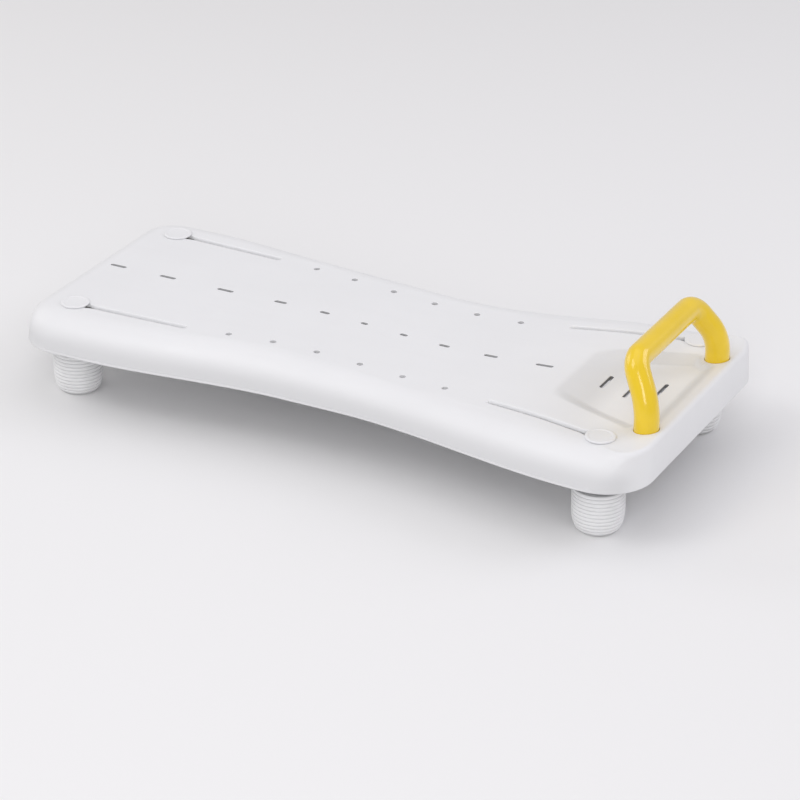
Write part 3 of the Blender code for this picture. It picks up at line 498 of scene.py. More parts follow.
class Recipe:
    """One material's nodes in the making."""

    def __init__(self, name: str) -> None:
        """Start a Principled material with the given name.

        Args:
            name: Name of the material.
        """
        self.material = bpy.data.materials.new(name)
        self.material.use_nodes = True
        self.tree = self.material.node_tree
        self.shader = self.tree.nodes["Principled BSDF"]

    def add(self, kind: str, settings: dict | None = None, inputs: dict | None = None,
            output: int | str = 0) -> Value:
        """Add a node.

        Args:
            kind: The node's type.
            settings: Its settings, set first.
            inputs: Values or links for its sockets, by number, identifier or name.
            output: The output that is wanted, by number or name.

        Returns:
            The value of that output.
        """
        node = self.tree.nodes.new(kind)
        for key, setting in (settings or {}).items():
            setattr(node, key, setting)
        for key, value in (inputs or {}).items():
            self.feed(self._socket(node, key), value)
        return Value(self, node.outputs[output])

    @staticmethod
    def _socket(node: bpy.types.Node, key: int | str) -> bpy.types.NodeSocket:
        """Find an input by number, identifier or name.

        Args:
            node: Node that has it.
            key: Number, identifier or name.

        Returns:
            The input.
        """
        if isinstance(key, int):
            return node.inputs[key]
        return next(socket for socket in node.inputs if key in (socket.identifier, socket.name))

    def feed(self, socket: bpy.types.NodeSocket, value: "Value | float | tuple") -> None:
        """Link a value to a socket, or set the socket to a number or colour.

        Args:
            socket: Socket to feed.
            value: Value to link, or number or colour to set.
        """
        if isinstance(value, Value):
            self.tree.links.new(value.socket, socket)
        elif isinstance(value, tuple) and len(value) == 3 and socket.type == "RGBA":
            socket.default_value = (*value, 1.0)
        else:
            socket.default_value = value

    def set(self, **sockets: "Value | float | tuple") -> None:
        """Feed the shader's own sockets, named with underscores for spaces."""
        for name, value in sockets.items():
            self.feed(self.shader.inputs[name.replace("_", " ")], value)

    def place(self, scale: Triple = EVEN) -> Value:
        """Object coordinates in metres, stretched by a scale.

        Args:
            scale: How much the pattern is squeezed along each axis.

        Returns:
            Where the surface is.
        """
        where = self.add("ShaderNodeTexCoord", output="Object")
        if scale == EVEN:
            return where
        return self.add("ShaderNodeMapping", None, {"Vector": where, "Scale": scale})

    def axis(self, name: str) -> Value:
        """One object coordinate in metres: X, Y or Z."""
        return self.add("ShaderNodeSeparateXYZ", None, {"Vector": self.place()}, name)

    def attribute(self, name: str) -> Value:
        """A number that the mesh carries at its points."""
        return self.add("ShaderNodeAttribute", {"attribute_name": name}, output="Fac")

    def blend(self, share: Value | float, first: Value | Colour, second: Value | Colour) -> Value:
        """Mix two colours.

        Args:
            share: 0 for the first colour and 1 for the second.
            first: First colour.
            second: Second colour.

        Returns:
            The mixed colour.
        """
        pair = {"A_Color": first, "B_Color": second, "Factor_Float": share}
        return self.add("ShaderNodeMix", {"data_type": "RGBA"}, pair, 2)


# Patterns and finishes

@dataclass(frozen=True)
class Pattern:
    """Noise on a surface: size of a feature, finer layers, stretch along each axis, their weight."""

    size: float
    detail: float = 2.0
    stretch: Triple = EVEN
    rough: float = 0.5

    def noise(self, recipe: Recipe) -> Value:
        """The noise, around 0.5, on object coordinates.

        Args:
            recipe: Material in the making.

        Returns:
            The noise.
        """
        return recipe.add("ShaderNodeTexNoise", None, {
            "Vector": recipe.place(self.stretch), "Scale": 1.0 / self.size,
            "Detail": self.detail, "Roughness": self.rough,
        })


@dataclass(frozen=True, kw_only=True)
class Patches(Pattern):
    """Soft-edged patches: the noise at which they begin and are full, their strength and shade."""

    begin: float
    full: float
    strength: float = 1.0
    shade: float = 1.0

    def share(self, recipe: Recipe) -> Value:
        """How much the patches cover, from 0 to their strength."""
        return self.noise(recipe).step(self.begin, self.full) * self.strength


@dataclass(frozen=True, kw_only=True)
class Relief(Pattern):
    """Fine relief: its depth in metres, how strongly it shows and how much it dulls the gloss."""

    depth: float
    strength: float
    dulls: float = 0.0

    def direction(self, recipe: Recipe, height: Value, under: Value | None = None) -> Value:
        """Direction of the surface with the relief on it.

        Args:
            recipe: Material in the making.
            height: The pattern's own noise.
            under: Relief that this one lies on.

        Returns:
            The surface direction.
        """
        inputs = {"Height": height, "Distance": self.depth, "Strength": self.strength}
        if under is not None:
            inputs["Normal"] = under
        return recipe.add("ShaderNodeBump", None, inputs)


@dataclass(frozen=True)
class Finish:
    """A finish: its material slot in the record (not used here), its name, its main colour and how dull
    it is.
    """

    slot: str
    name: str
    colour: Colour
    dullness: float

    def material(self) -> bpy.types.Material:
        """Make the material, or return the one made before."""
        known = bpy.data.materials.get(self.name)
        return known if known is not None else self._make()

    def _shade(self, factor: float) -> Colour:
        """The main colour times a factor."""
        return tuple(part * factor for part in self.colour)

    def _patched(self, recipe: Recipe, tone: Value | Colour, patches: Patches) -> Value:
        """A tone with patches of another shade of the main colour over it."""
        return recipe.blend(patches.share(recipe), tone, self._shade(patches.shade))

    def _make(self) -> bpy.types.Material:
        """Work out the material's nodes."""
        raise NotImplementedError


@dataclass(frozen=True)
class MouldedWhite(Finish):
    """Injection-moulded white plastic: spark-eroded grain, faint flow marks, rubbed high places."""

    drift: Patches = Patches(0.09, begin=0.7, full=0.3, shade=0.985)
    flow: Patches = Patches(0.018, 3.0, (0.25, 1.0, 1.0), begin=0.45, full=0.75, strength=0.35,
                            shade=0.97)
    specks: Patches = Patches(0.0016, 1.0, begin=0.70, full=0.80, strength=0.06, shade=0.8)
    rubbed: Patches = Patches(0.012, 4.0, (0.18, 1.0, 1.0), 0.65, begin=0.52, full=0.72)
    grain: Relief = Relief(0.0007, 3.0, rough=0.6, depth=0.00003, strength=0.8, dulls=0.05)
    waves: Relief = Relief(0.03, 1.0, depth=0.00025, strength=0.35)
    # painted shade on the low part of the sides: levels in Z, where it stops along X, and its shade
    painted_shade_levels: tuple[float, float] = (0.087, 0.069)
    painted_shade_stop: tuple[float, float] = (0.330, 0.350)
    painted_low_shade: float = 0.85
    # painted shade in the drains and on the tray's slopes
    painted_recess_shade: float = 0.12
    # painted light on the foot slots' walls
    painted_glow_share: float = 0.15
    polish: float = 0.07
    shine: float = 0.45

    def _make(self) -> bpy.types.Material:
        """Colour drifts by about a hundredth, grain in the relief, rubbed streaks less dull.

        The sides darken towards their bottom edge, except at the right end, as painted shade; the
        drains' walls and the tray's slopes carry painted shade, and the foot slots' walls carry painted
        light as emission.

        Returns:
            The new material.
        """
        r = Recipe(self.name)
        # painted shade: darker towards the bottom of the sides, except at the right end
        low = r.axis("Z").step(*self.painted_shade_levels) * (1.0 - r.axis("X").step(*self.painted_shade_stop))
        tone = self._patched(r, self._patched(r, self.colour, self.drift), self.flow)
        tone = r.blend(low, tone, self._shade(self.painted_low_shade))
        # painted shade in the drains and on the tray's slopes
        tone = r.blend(r.attribute(PAINTED_SHADE), tone, self._shade(self.painted_recess_shade))
        tone = self._patched(r, tone, self.specks)
        grain = self.grain.noise(r)
        waves = self.waves.direction(r, self.waves.noise(r))
        # the emission is painted light on the foot slots' walls
        r.set(Base_Color=tone, Specular_IOR_Level=self.shine,
              Roughness=self.dullness - self.rubbed.share(r) * self.polish + grain * self.grain.dulls,
              Normal=self.grain.direction(r, grain, waves),
              Emission_Color=r.blend(r.attribute(PAINTED_GLOW) * self.painted_glow_share, BLACK, self.colour),
              Emission_Strength=1.0)
        return r.material


@dataclass(frozen=True)
class GlossYellow(Finish):
    """Glossy yellow grip: smooth coat with a faint orange peel, rubbed where hands hold it."""

    drift: Patches = Patches(0.035, begin=0.7, full=0.35, shade=0.95)
    specks: Patches = Patches(0.0011, 1.0, begin=0.72, full=0.80, strength=0.12, shade=0.75)
    rubbed: Patches = Patches(0.009, 4.0, rough=0.7, begin=0.50, full=0.75)
    fine: Relief = Relief(0.0005, depth=0.00001, strength=0.15, dulls=0.04)
    peel: Relief = Relief(0.0035, depth=0.00008, strength=0.12)
    rub_dulls: float = 0.10
    coat_loss: float = 0.30
    coat_dullness: float = 0.12
    shine: float = 0.30

    def _make(self) -> bpy.types.Material:
        """Clear coat that thins where it is rubbed, small ripples, colour deeper in places.

        Returns:
            The new material.
        """
        r = Recipe(self.name)
        rubbed = self.rubbed.share(r)
        fine = self.fine.noise(r)
        peel = self.peel.direction(r, self.peel.noise(r))
        r.set(Base_Color=self._patched(r, self._patched(r, self.colour, self.drift), self.specks),
              Roughness=self.dullness + rubbed * self.rub_dulls + fine * self.fine.dulls,
              Coat_Weight=1.0 - rubbed * self.coat_loss, Coat_Roughness=self.coat_dullness,
              Specular_IOR_Level=self.shine, Normal=self.fine.direction(r, fine, peel))
        return r.material


@dataclass(frozen=True)
class PaleRubber(Finish):
    """Soft pale rubber: dull, faintly speckled, with painted shade in the valleys between its rings.

    The painted valley shade and the darkening at the bottom are each a strength and a shade.
    """

    pitch: float = 0.004
    top: float = 0.046
    drift: Patches = Patches(0.02, begin=0.7, full=0.3, shade=0.95)
    specks: Patches = Patches(0.0009, begin=0.55, full=0.75, strength=0.25, shade=0.85)
    grain: Relief = Relief(0.0006, 3.0, rough=0.6, depth=0.00004, strength=0.8, dulls=-0.05)
    speck_dulls: float = 0.4
    painted_valley_reach: float = 0.6
    painted_valley_shade: tuple[float, float] = (0.50, 0.58)
    bottom_darkening_height: float = 0.006
    bottom_darkening: tuple[float, float] = (0.5, 0.7)
    shine: float = 0.35

    def _make(self) -> bpy.types.Material:
        """The painted shade in the valleys follows the rings' pitch down from the top, as 1 - |sin|;
        the lowest part is darker.

        Returns:
            The new material.
        """
        r = Recipe(self.name)
        phase = (self.top - r.axis("Z")) * (math.pi / self.pitch)
        ring = abs(r.add("ShaderNodeMath", {"operation": "SINE"}, {0: phase}))
        # painted shade in the valleys between the rings
        painted_valley_shade = 1.0 - ring.step(0.0, self.painted_valley_reach)
        # darker towards the bottom of the sleeve
        bottom_darkening = r.axis("Z").step(self.bottom_darkening_height, 0.0)
        specks = self.specks.share(r)
        tone = self._patched(r, self.colour, self.drift)
        tone = r.blend(specks, tone, self._shade(self.specks.shade))
        for mask, (strength, shade) in ((painted_valley_shade, self.painted_valley_shade), (bottom_darkening, self.bottom_darkening)):
            tone = r.blend(mask * strength, tone, self._shade(shade))
        grain = self.grain.noise(r)
        r.set(Base_Color=tone, Specular_IOR_Level=self.shine,
              Roughness=self.dullness + specks * self.speck_dulls + grain * self.grain.dulls,
              Normal=self.grain.direction(r, grain))
        return r.material


@dataclass(frozen=True)
class SatinPlastic(Finish):
    """Plain moulded plastic with fine grain, for the pieces under the deck."""

    cloud: Pattern = Pattern(0.015, 3.0)
    cloud_levels: tuple[float, float] = (0.3, 0.7)
    cloud_shades: tuple[float, float] = (0.88, 1.06)
    cloud_polish: float = 0.05
    grain: Relief = Relief(0.0006, 3.0, rough=0.6, depth=0.00003, strength=0.7, dulls=0.12)

    def _make(self) -> bpy.types.Material:
        """Grain in the relief and in the gloss, with cloudy colour.

        Returns:
            The new material.
        """
        r = Recipe(self.name)
        cloud, grain = self.cloud.noise(r), self.grain.noise(r)
        dark, light = (self._shade(factor) for factor in self.cloud_shades)
        r.set(Base_Color=r.blend(cloud.step(*self.cloud_levels), dark, light),
              Roughness=self.dullness + grain * self.grain.dulls - cloud * self.cloud_polish,
              Normal=self.grain.direction(r, grain))
        return r.material


@dataclass(frozen=True)
class TurnedSteel(Finish):
    """Stainless steel with fine turning marks around an upright axis."""

    marks: Relief = Relief(0.0012, 3.0, (0.25, 0.25, 6.0), depth=0.00002, strength=0.5, dulls=0.12)
    smudge: Pattern = Pattern(0.008, 3.0)
    smudge_levels: tuple[float, float] = (0.35, 0.7)
    smudge_shade: float = 0.88
    smudge_dulls: float = 0.08

    def _make(self) -> bpy.types.Material:
        """Marks are noise drawn out flat around the axis; smudges change the gloss.

        Returns:
            The new material.
        """
        r = Recipe(self.name)
        marks, smudge = self.marks.noise(r), self.smudge.noise(r)
        dark = self._shade(self.smudge_shade)
        r.set(Base_Color=r.blend(smudge.step(*self.smudge_levels), dark, self.colour), Metallic=1.0,
              Roughness=self.dullness + marks * self.marks.dulls + smudge * self.smudge_dulls,
              Normal=self.marks.direction(r, marks))
        return r.material


WHITE = MouldedWhite("white_plastic", "moulded_white", (0.845, 0.85, 0.86), 0.42)
YELLOW = GlossYellow("yellow_plastic", "gloss_yellow", (0.91, 0.63, 0.005), 0.30)
RUBBER = PaleRubber("pale_rubber", "pale_rubber_rings", (0.90, 0.905, 0.91), 0.66)
CHARCOAL = SatinPlastic("charcoal_plastic", "charcoal_hub", (0.07, 0.07, 0.075), 0.48)
NYLON = SatinPlastic("natural_nylon", "natural_nylon_shoe", (0.72, 0.71, 0.67), 0.46)
STEEL = TurnedSteel("stainless_steel", "turned_steel", (0.62, 0.62, 0.63), 0.24)


# The deck

@dataclass(frozen=True)
class SlotLine:
    """A foot's slot: where the clamp is parked, which way it slides and how far."""

    label: str
    start: Vector
    along: Vector
    length: float

    @property
    def stop(self) -> Vector:
        """Inner end of the travel."""
        return self.start + self.along * self.length

    @property
    def across(self) -> Vector:
        """Direction across the slot."""
        return Vector((-self.along.y, self.along.x))

    def frame(self, level: float) -> Matrix:
        """Place at the parked point, turned so that X lies along the slot, at a level."""
        turn = Matrix.Rotation(math.atan2(self.along.y, self.along.x), 4, "Z")
        return Matrix.Translation((self.start.x, self.start.y, level)) @ turn


@dataclass(frozen=True)
class Drain:
    """A drain opening: the ends of its middle line, its width and the painted shade on its wall."""

    start: tuple[float, float]
    end: tuple[float, float]
    width: float
    shade: float

    def outline(self) -> np.ndarray:
        """Outline in plan: a circle, or a slot with round ends.

        Returns:
            Anticlockwise outline points.
        """
        if self.start == self.end:
            return circle(self.start, self.width / 2)
        return stadium(self.start, self.end, self.width)


@dataclass(frozen=True)
class Loop:
    """Outline of the deck: points, directions out, edge rounds, and the counts along and across."""

    points: np.ndarray
    outs: np.ndarray
    softs: np.ndarray
    along: int
    across: int


@dataclass
class Deck:
    """Moulded deck with its soft edges, seat contour, soap tray, openings and ribs.

    Crown, dip and end rise are a height, a place along X and a reach. A rib is a thickness and a depth.
    The middle row's slots grow from a shortest to a longest length by a share of their distance from
    the middle. The hole row is a count, a first place and a pitch, and bows out by a distance around a
    place. The tray's ramp stretch holds the shares where its slope has grown and where it dies away,
    and the tray's leg is the land and the slope around each leg of the handle. The tray's slots are a
    first place, a pitch and a width. Foot places and slot leans are for the left and the right end. A
    mouth is a width and the length of its taper. The leg place lies in from the right end and out from
    the middle line. The painted shades on the drains' walls are for holes, middle slots and tray slots,
    and the painted shade on the tray's slopes comes with the slope at which it is full. Steps are
    stretches along a side, half an end, half a corner and the edge round, and slot points lie along a
    mouth, a slot and its round end.
    """

    length: float = 0.703
    half_width_left: float = 0.149
    half_width_waist: float = 0.129
    half_width_right: float = 0.163
    waist_x: float = -0.012
    waist_half_length: float = 0.030
    left_straight: float = 0.030
    corner: float = 0.050
    top: float = 0.096
    skirt: float = 0.0365
    flare: float = 0.0015
    skin: float = 0.004
    wall: float = 0.0035
    side_round: float = 0.034
    left_round: float = 0.024
    right_round: float = 0.005
    round_change: float = 0.65
    rim_round: float = 0.0012
    least_round: float = 0.001
    crown: Triple = (0.001, -0.100, 0.060)
    dip: Triple = (0.0062, 0.090, 0.155)
    end_rise: Triple = (0.003, 0.312, 0.035)
    rib: tuple[float, float] = (0.0025, 0.018)
    long_ribs: tuple[float, ...] = (0.028, 0.058)
    outer_cross_ribs: tuple[float, ...] = (-0.281, -0.216, 0.205)
    centre_slots: tuple[float, ...] = (
        -0.313, -0.252, -0.182, -0.116, -0.064, -0.018, 0.027, 0.073, 0.125, 0.184)
    centre_slot_width: float = 0.0045
    centre_slot_lengths: Triple = (0.0065, 0.019, 0.068)
    hole_diameter: float = 0.0065
    hole_row: tuple[int, float, float] = (6, -0.124, 0.0482)
    hole_edge: float = 0.049
    hole_bow: tuple[float, float] = (0.010, 0.020)
    tray_left: float = 0.213
    tray_land: float = 0.0145
    tray_half_left: float = 0.058
    tray_spread: float = 0.343
    tray_ramp: float = 0.062
    tray_ramp_stretch: tuple[float, float] = (0.12, 0.6)
    tray_side_slope: float = 0.021
    tray_end_slope: float = 0.012
    tray_leg: tuple[float, float] = (0.0032, 0.008)
    tray_depth: float = 0.0066
    tray_floor_rise: float = 0.0016
    tray_slots: Triple = (0.251, 0.027, 0.004)
    tray_slot_halves: tuple[float, ...] = (0.014, 0.020, 0.025)
    foot_x: tuple[float, float] = (0.3015, 0.2985)
    foot_y: tuple[float, float] = (0.0995, 0.1185)
    slot_travel: float = 0.124
    slot_room: float = 0.0035
    slot_leans: tuple[float, float] = (0.033, 0.187)
    slot_width: float = 0.0066
    mouth: tuple[float, float] = (0.0095, 0.010)
    mouth_under: float = 0.002
    disc_radius: float = 0.015
    channel_width: float = 0.025
    shoe_length: float = 0.030
    key_depth: float = 0.008
    leg_place: tuple[float, float] = (0.0205, 0.0860)
    tube_radius: float = 0.01225
    socket_gap: float = 0.0004
    socket_depth: float = 0.022
    socket_shelf: float = 0.005
    socket_wall: float = 0.0035
    bolt_hole_radius: float = 0.0043
    boss_bevel: float = 0.0005
    lip: float = 0.0006
    slot_lip: float = 0.0014
    # painted shade: how dark the drains' walls are painted, then how dark the tray's slopes are painted
    painted_drain_shades: Triple = (0.20, 0.50, 0.85)
    painted_tray_shade: tuple[float, float] = (0.14, 0.20)
    steps: tuple[int, int, int, int] = (340, 56, 8, 12)
    hollow_steps: tuple[int, int, int, int] = (140, 24, 5, 6)
    slot_points: tuple[int, int, int] = (24, 60, 13)
    sharp_angle: float = 28.0

    @property
    def half_length(self) -> float:
        """Half of the deck's length."""
        return self.length / 2

    @property
    def socket_radius(self) -> float:
        """Radius of the sockets that the handle's legs stand in."""
        return self.tube_radius + self.socket_gap

    def half_width(self, x: np.ndarray) -> np.ndarray:
        """Half width along the board: the waist's, eased to the left and to the right value.

        Args:
            x: Places along the board.

        Returns:
            Half the width at each place.
        """
        left = self.waist_x - self.waist_half_length
        right = self.waist_x + self.waist_half_length
        share_left = ease((left - x) / (left + self.half_length - self.corner - self.left_straight))
        share_right = ease((x - right) / (self.half_length - self.corner - right))
        return (self.half_width_waist + (self.half_width_left - self.half_width_waist) * share_left
                + (self.half_width_right - self.half_width_waist) * share_right)

    def contour(self, x: np.ndarray) -> np.ndarray:
        """Seat contour: a low crown less a long dip, each a hump in x, and an eased rise at the right.

        Args:
            x: Places along the board.

        Returns:
            Height above the level deck top.
        """
        crown, crown_x, crown_half = self.crown
        dip, dip_x, dip_half = self.dip
        rise, rise_x, rise_length = self.end_rise
        return (crown * hump((x - crown_x) / crown_half) - dip * hump((x - dip_x) / dip_half)
                + rise * ease((x - rise_x) / rise_length))

    def tray_drop(self, x: np.ndarray, y: np.ndarray) -> np.ndarray:
        """Depth of the soap tray: its floor's depth, less up the ramp, the sides, the end and the legs.

        The ramp's slope grows over its first stretch a, stays the same up to b and then dies away:
        t - a/2 + max(a - t, 0)^2 / 2a - max(t - b, 0)^2 / 2(1 - b), scaled to end at 1. The other walls
        are eased. The half width grows evenly to the right, and each leg keeps a level land around it.

        Args:
            x: Places along the board.
            y: Places across it.

        Returns:
            How far the surface lies under the deck top.
        """
        right = self.half_length - self.tray_land
        floor_start = self.tray_left + self.tray_ramp
        t = np.clip((x - self.tray_left) / self.tray_ramp, 0, 1)
        a, b = self.tray_ramp_stretch
        ramp = (t - a / 2 + np.maximum(a - t, 0) ** 2 / (2 * a)
                - np.maximum(t - b, 0) ** 2 / (2 * (1 - b)))
        ramp = ramp / (1 - a / 2 - (1 - b) / 2)
        side = self.tray_half_left + self.tray_spread * (x - self.tray_left) - np.abs(y)
        leg_x, leg_y = self.legs()[1]
        land, leg_slope = self.tray_leg
        from_leg = np.hypot(x - leg_x, np.abs(y) - leg_y) - self.tube_radius - land
        walls = ease(side / self.tray_side_slope) * ease((right - x) / self.tray_end_slope)
        along = np.clip((x - floor_start) / (right - floor_start), 0, 1)
        depth = self.tray_depth - self.tray_floor_rise * along
        return depth * ramp * walls * ease(from_leg / leg_slope)

    def level(self, x: np.ndarray, y: np.ndarray) -> np.ndarray:
        """Level of the deck's top surface: deck top plus contour less tray.

        Args:
            x: Places along the board.
            y: Places across it.

        Returns:
            Height above the floor.
        """
        return self.top + self.contour(x) - self.tray_drop(x, y)

    def slot_lines(self) -> list[SlotLine]:
        """The four slots, outer end first.

        Returns:
            The slots, left ones first and the front one of each pair first.
        """
        lines = []
        for end, end_name in ((-1, "left"), (1, "right")):
            pick = (end + 1) // 2
            for side, side_name in ((-1, "front"), (1, "back")):
                label = f"{side_name}_{end_name}"
                start = Vector((end * self.foot_x[pick], side * self.foot_y[pick]))
                travel = Vector((-end, -side * self.slot_leans[pick])) * self.slot_travel
                lines.append(SlotLine(label, start, travel.normalized(), travel.length))
        return lines

    def loop(self, side_steps: int, end_steps: int, corner_steps: int) -> Loop:
        """Outline of the rim, anticlockwise from the middle of the near left corner.

        One half runs from the left end's middle along the near side to the right end's middle:
        straight, quarter circle, the half width's line, quarter circle, straight. The other half is
        its mirror image in Y.

        Args:
            side_steps: Stretches along a long side.
            end_steps: Stretches along half an end.
            corner_steps: Stretches along half a corner.

        Returns:
            The outline with directions, rounds and counts.
        """
        reach = self.half_length - self.corner
        turn = np.radians(90) * np.arange(1, 2 * corner_steps + 1) / (2 * corner_steps)
        across = np.linspace(0, 1, end_steps + 1)
        left_y = self.half_width_left - self.corner
        right_y = self.half_width_right - self.corner
        x = np.linspace(-reach, reach, side_steps + 1)[1:]
        slope = np.gradient(self.half_width(x), x)
        slope[-1] = 0.0
        share = turn / turn[-1]
        left_softs = self.left_round + (self.side_round - self.left_round) * ease(share)
        right_softs = (self.side_round
                       + (self.right_round - self.side_round) * ease(share / self.round_change))
        flat = np.ones(end_steps + 1)
        rows = [
            (-self.half_length * flat, -left_y * across, -flat, 0 * flat, self.left_round * flat),
            (-reach - self.corner * np.cos(turn), -left_y - self.corner * np.sin(turn),
             -np.cos(turn), -np.sin(turn), left_softs),
            (x, -self.half_width(x), -slope / np.hypot(1, slope), -1 / np.hypot(1, slope),
             np.full(side_steps, self.side_round)),
            (reach + self.corner * np.sin(turn), -right_y - self.corner * np.cos(turn),
             np.sin(turn), -np.cos(turn), right_softs),
            (self.half_length * flat[1:], -right_y * (1 - across[1:]), flat[1:], 0 * flat[1:],
             self.right_round * flat[1:]),
        ]
        near = np.hstack([np.stack(row) for row in rows]).T
        far = near[::-1] * np.array([1, -1, 1, -1, 1])
        first = end_steps + corner_steps
        whole = np.vstack([near[first:], far[1:], near[1:first]])
        return Loop(whole[:, :2], whole[:, 2:4], whole[:, 4], side_steps + 2 * corner_steps, 2 * first)

    def lofted(self, name: str, inset: float, drop: float, low: float,
               counts: tuple[int, int, int, int]) -> bpy.types.Mesh:
        """Closed body of the deck's shape, drawn in by an inset and lowered by a drop.

        The wall rises from the low level to the edge round, a quarter ellipse of the outline's round,
        and ends on a top grid: its points lie between the four sides, at the level of the deck's top.

        Args:
            name: Name of the mesh.
            inset: How far the wall stands in from the outline.
            drop: How far the top lies under the deck's top.
            low: Level of the open bottom.
            counts: Stretches along a side, half an end, half a corner and the edge round.

        Returns:
            A closed mesh.
        """
        loop = self.loop(*counts[:3])
        rim = self.top - self.skirt
        top = self.top - drop
        base = loop.points - loop.outs * inset
        softs = np.maximum(loop.softs - inset, self.least_round)
        angle = np.linspace(0, math.pi / 2, counts[3] + 1)[:, None]
        moved_in = self.flare + softs * (1 - np.cos(angle))
        heights = top - softs * (1 - np.sin(angle))
        heights = heights + self.contour(loop.points[:, 0]) * (heights - rim) / (top - rim)
        small = QUARTER[:, None]
        flat = np.ones(len(base))
        if inset == 0:
            moved_in = np.vstack([self.rim_round * (1 - np.sin(small)) * flat, moved_in])
            heights = np.vstack([low + self.rim_round * (1 - np.cos(small)) * flat, heights])
        else:
            moved_in = np.vstack([0 * flat, moved_in])
            heights = np.vstack([low * flat, heights])
        plan = base[None] - loop.outs[None] * moved_in[..., None]
        wall = np.concatenate([plan, heights[..., None]], axis=-1)

        rows, count = heights.shape
        ring = np.arange(count) + (rows - 1) * count
        near, right = ring[:loop.along + 1], ring[loop.along:loop.along + loop.across + 1]
        far = ring[loop.along + loop.across:2 * loop.along + loop.across + 1][::-1]
        left = np.append(ring[2 * loop.along + loop.across:], ring[0])[::-1]
        flat_wall = wall.reshape(-1, 3)
        a, b, c, d = (flat_wall[side] for side in (near, far, left, right))
        u = ((a[:, 0] - a[0, 0]) / (a[-1, 0] - a[0, 0]))[:, None]
        v_left, v_right = ((side[:, 1] - side[0, 1]) / (side[-1, 1] - side[0, 1]) for side in (c, d))
        v = v_left * (1 - u) + v_right * u
        grid_x = a[:, :1] + (c[:, 0] - c[0, 0]) * (1 - u) + (d[:, 0] - d[0, 0]) * u
        grid_y = a[:, 1:2] * (1 - v) + b[:, 1:2] * v
        grid = np.stack([grid_x, grid_y, self.level(grid_x, grid_y) - drop], axis=-1)
        numbers = np.zeros(v.shape, int)
        numbers[:, 0], numbers[:, -1], numbers[0], numbers[-1] = near, far, left, right
        inner = numbers[1:-1, 1:-1]
        inner[...] = rows * count + np.arange(inner.size).reshape(inner.shape)
        points = np.vstack([flat_wall, grid[1:-1, 1:-1].reshape(-1, 3)])
        cells = np.stack([numbers[:-1, :-1], numbers[1:, :-1], numbers[1:, 1:], numbers[:-1, 1:]],
                         axis=-1).reshape(-1, 4)
        return make_mesh(name, points, [quads(rows, count), cells, np.arange(count)[::-1]])

    def opening(self, outline: np.ndarray, low: float, lip: float) -> bpy.types.Mesh:
        """Body that cuts an opening with a rounded upper edge.

        Under the top it has the outline itself; over the last lip it widens along a quarter circle,
        offset lip (1 - cos a) at depth lip (1 - sin a), on the level of the deck's top.

        Args:
            outline: Outline in plan.
            low: Level that it reaches down to.
            lip: Radius of the rounded edge.

        Returns:
            A closed mesh.
        """
        out = outward(outline)
        offsets = lip * (1 - np.cos(QUARTER))
        plan = outline[None] + out[None] * offsets[:, None, None]
        levels = self.level(plan[..., 0], plan[..., 1]) - lip * (1 - np.sin(QUARTER))[:, None]
        count = len(outline)
        levels = np.vstack([np.full(count, low), levels, np.full(count, self.top + MARGIN)])
        return stacked("opening", outline, np.concatenate([[0], offsets, [lip]]), levels)

    def slot_outline(self, line: SlotLine) -> np.ndarray:
        """Outline of a foot slot with its mouth.

        The half width falls from the mouth's to the slot's along an eased taper that starts under the
        parked disc; the inner end is a half circle.

        Args:
            line: The slot.

        Returns:
            Anticlockwise outline points in plan.
        """
        half = self.slot_width / 2
        mouth_half, taper = self.mouth[0] / 2, self.mouth[1]
        narrow, end = self.disc_radius + 2 * taper, line.length + self.slot_room
        mouth_points, slot_points, end_points = self.slot_points
        s = np.concatenate([np.linspace(self.disc_radius / 2, narrow, mouth_points),
                            np.linspace(narrow, end, slot_points)[1:]])
        fallen = ease((s - self.disc_radius + self.mouth_under) / taper)
        widths = half + (mouth_half - half) * (1 - fallen)
        turn = np.linspace(-math.pi / 2, math.pi / 2, end_points)[1:-1]
        end_s = end + half * np.cos(turn)
        back = np.linspace(math.pi / 2, 3 * math.pi / 2, end_points)
        start_s = half * np.cos(back) - self.slot_room
        s_all = np.concatenate([s, end_s, s[::-1], start_s])
        w_all = np.concatenate([-widths, half * np.sin(turn), widths[::-1], half * np.sin(back)])
        start, along, across = (np.array(v) for v in (line.start, line.along, line.across))
        return start + s_all[:, None] * along + w_all[:, None] * across

    def hole_places(self) -> np.ndarray:
        """Places of the drain holes: two rows that bow outwards with the square of the distance.

        Returns:
            One place in plan for each row, the front row first.
        """
        count, first, pitch = self.hole_row
        x = first + pitch * np.arange(count)
        bow, middle = self.hole_bow
        y = self.half_width_waist - self.hole_edge + bow * ((x - middle) / (middle - first)) ** 2
        return np.vstack([np.column_stack([x, -y]), np.column_stack([x, y])])

    def drains(self) -> list[Drain]:
        """The drain openings: the middle row of slots, the rows of holes and the tray's slots.

        Returns:
            The openings.
        """
        painted_hole_shade, painted_slot_shade, painted_tray_shade = self.painted_drain_shades
        shortest, longest, growth = self.centre_slot_lengths
        width = self.centre_slot_width
        drains = []
        for x in self.centre_slots:
            reach = (min(shortest + growth * abs(x), longest) - width) / 2
            drains.append(Drain((x - reach, 0.0), (x + reach, 0.0), width, painted_slot_shade))
        for place in self.hole_places():
            drains.append(Drain(tuple(place), tuple(place), self.hole_diameter, painted_hole_shade))
        first, pitch, width = self.tray_slots
        for k, half in enumerate(self.tray_slot_halves):
            x, reach = first + k * pitch, half - width / 2
            drains.append(Drain((x, -reach), (x, reach), width, painted_tray_shade))
        return drains

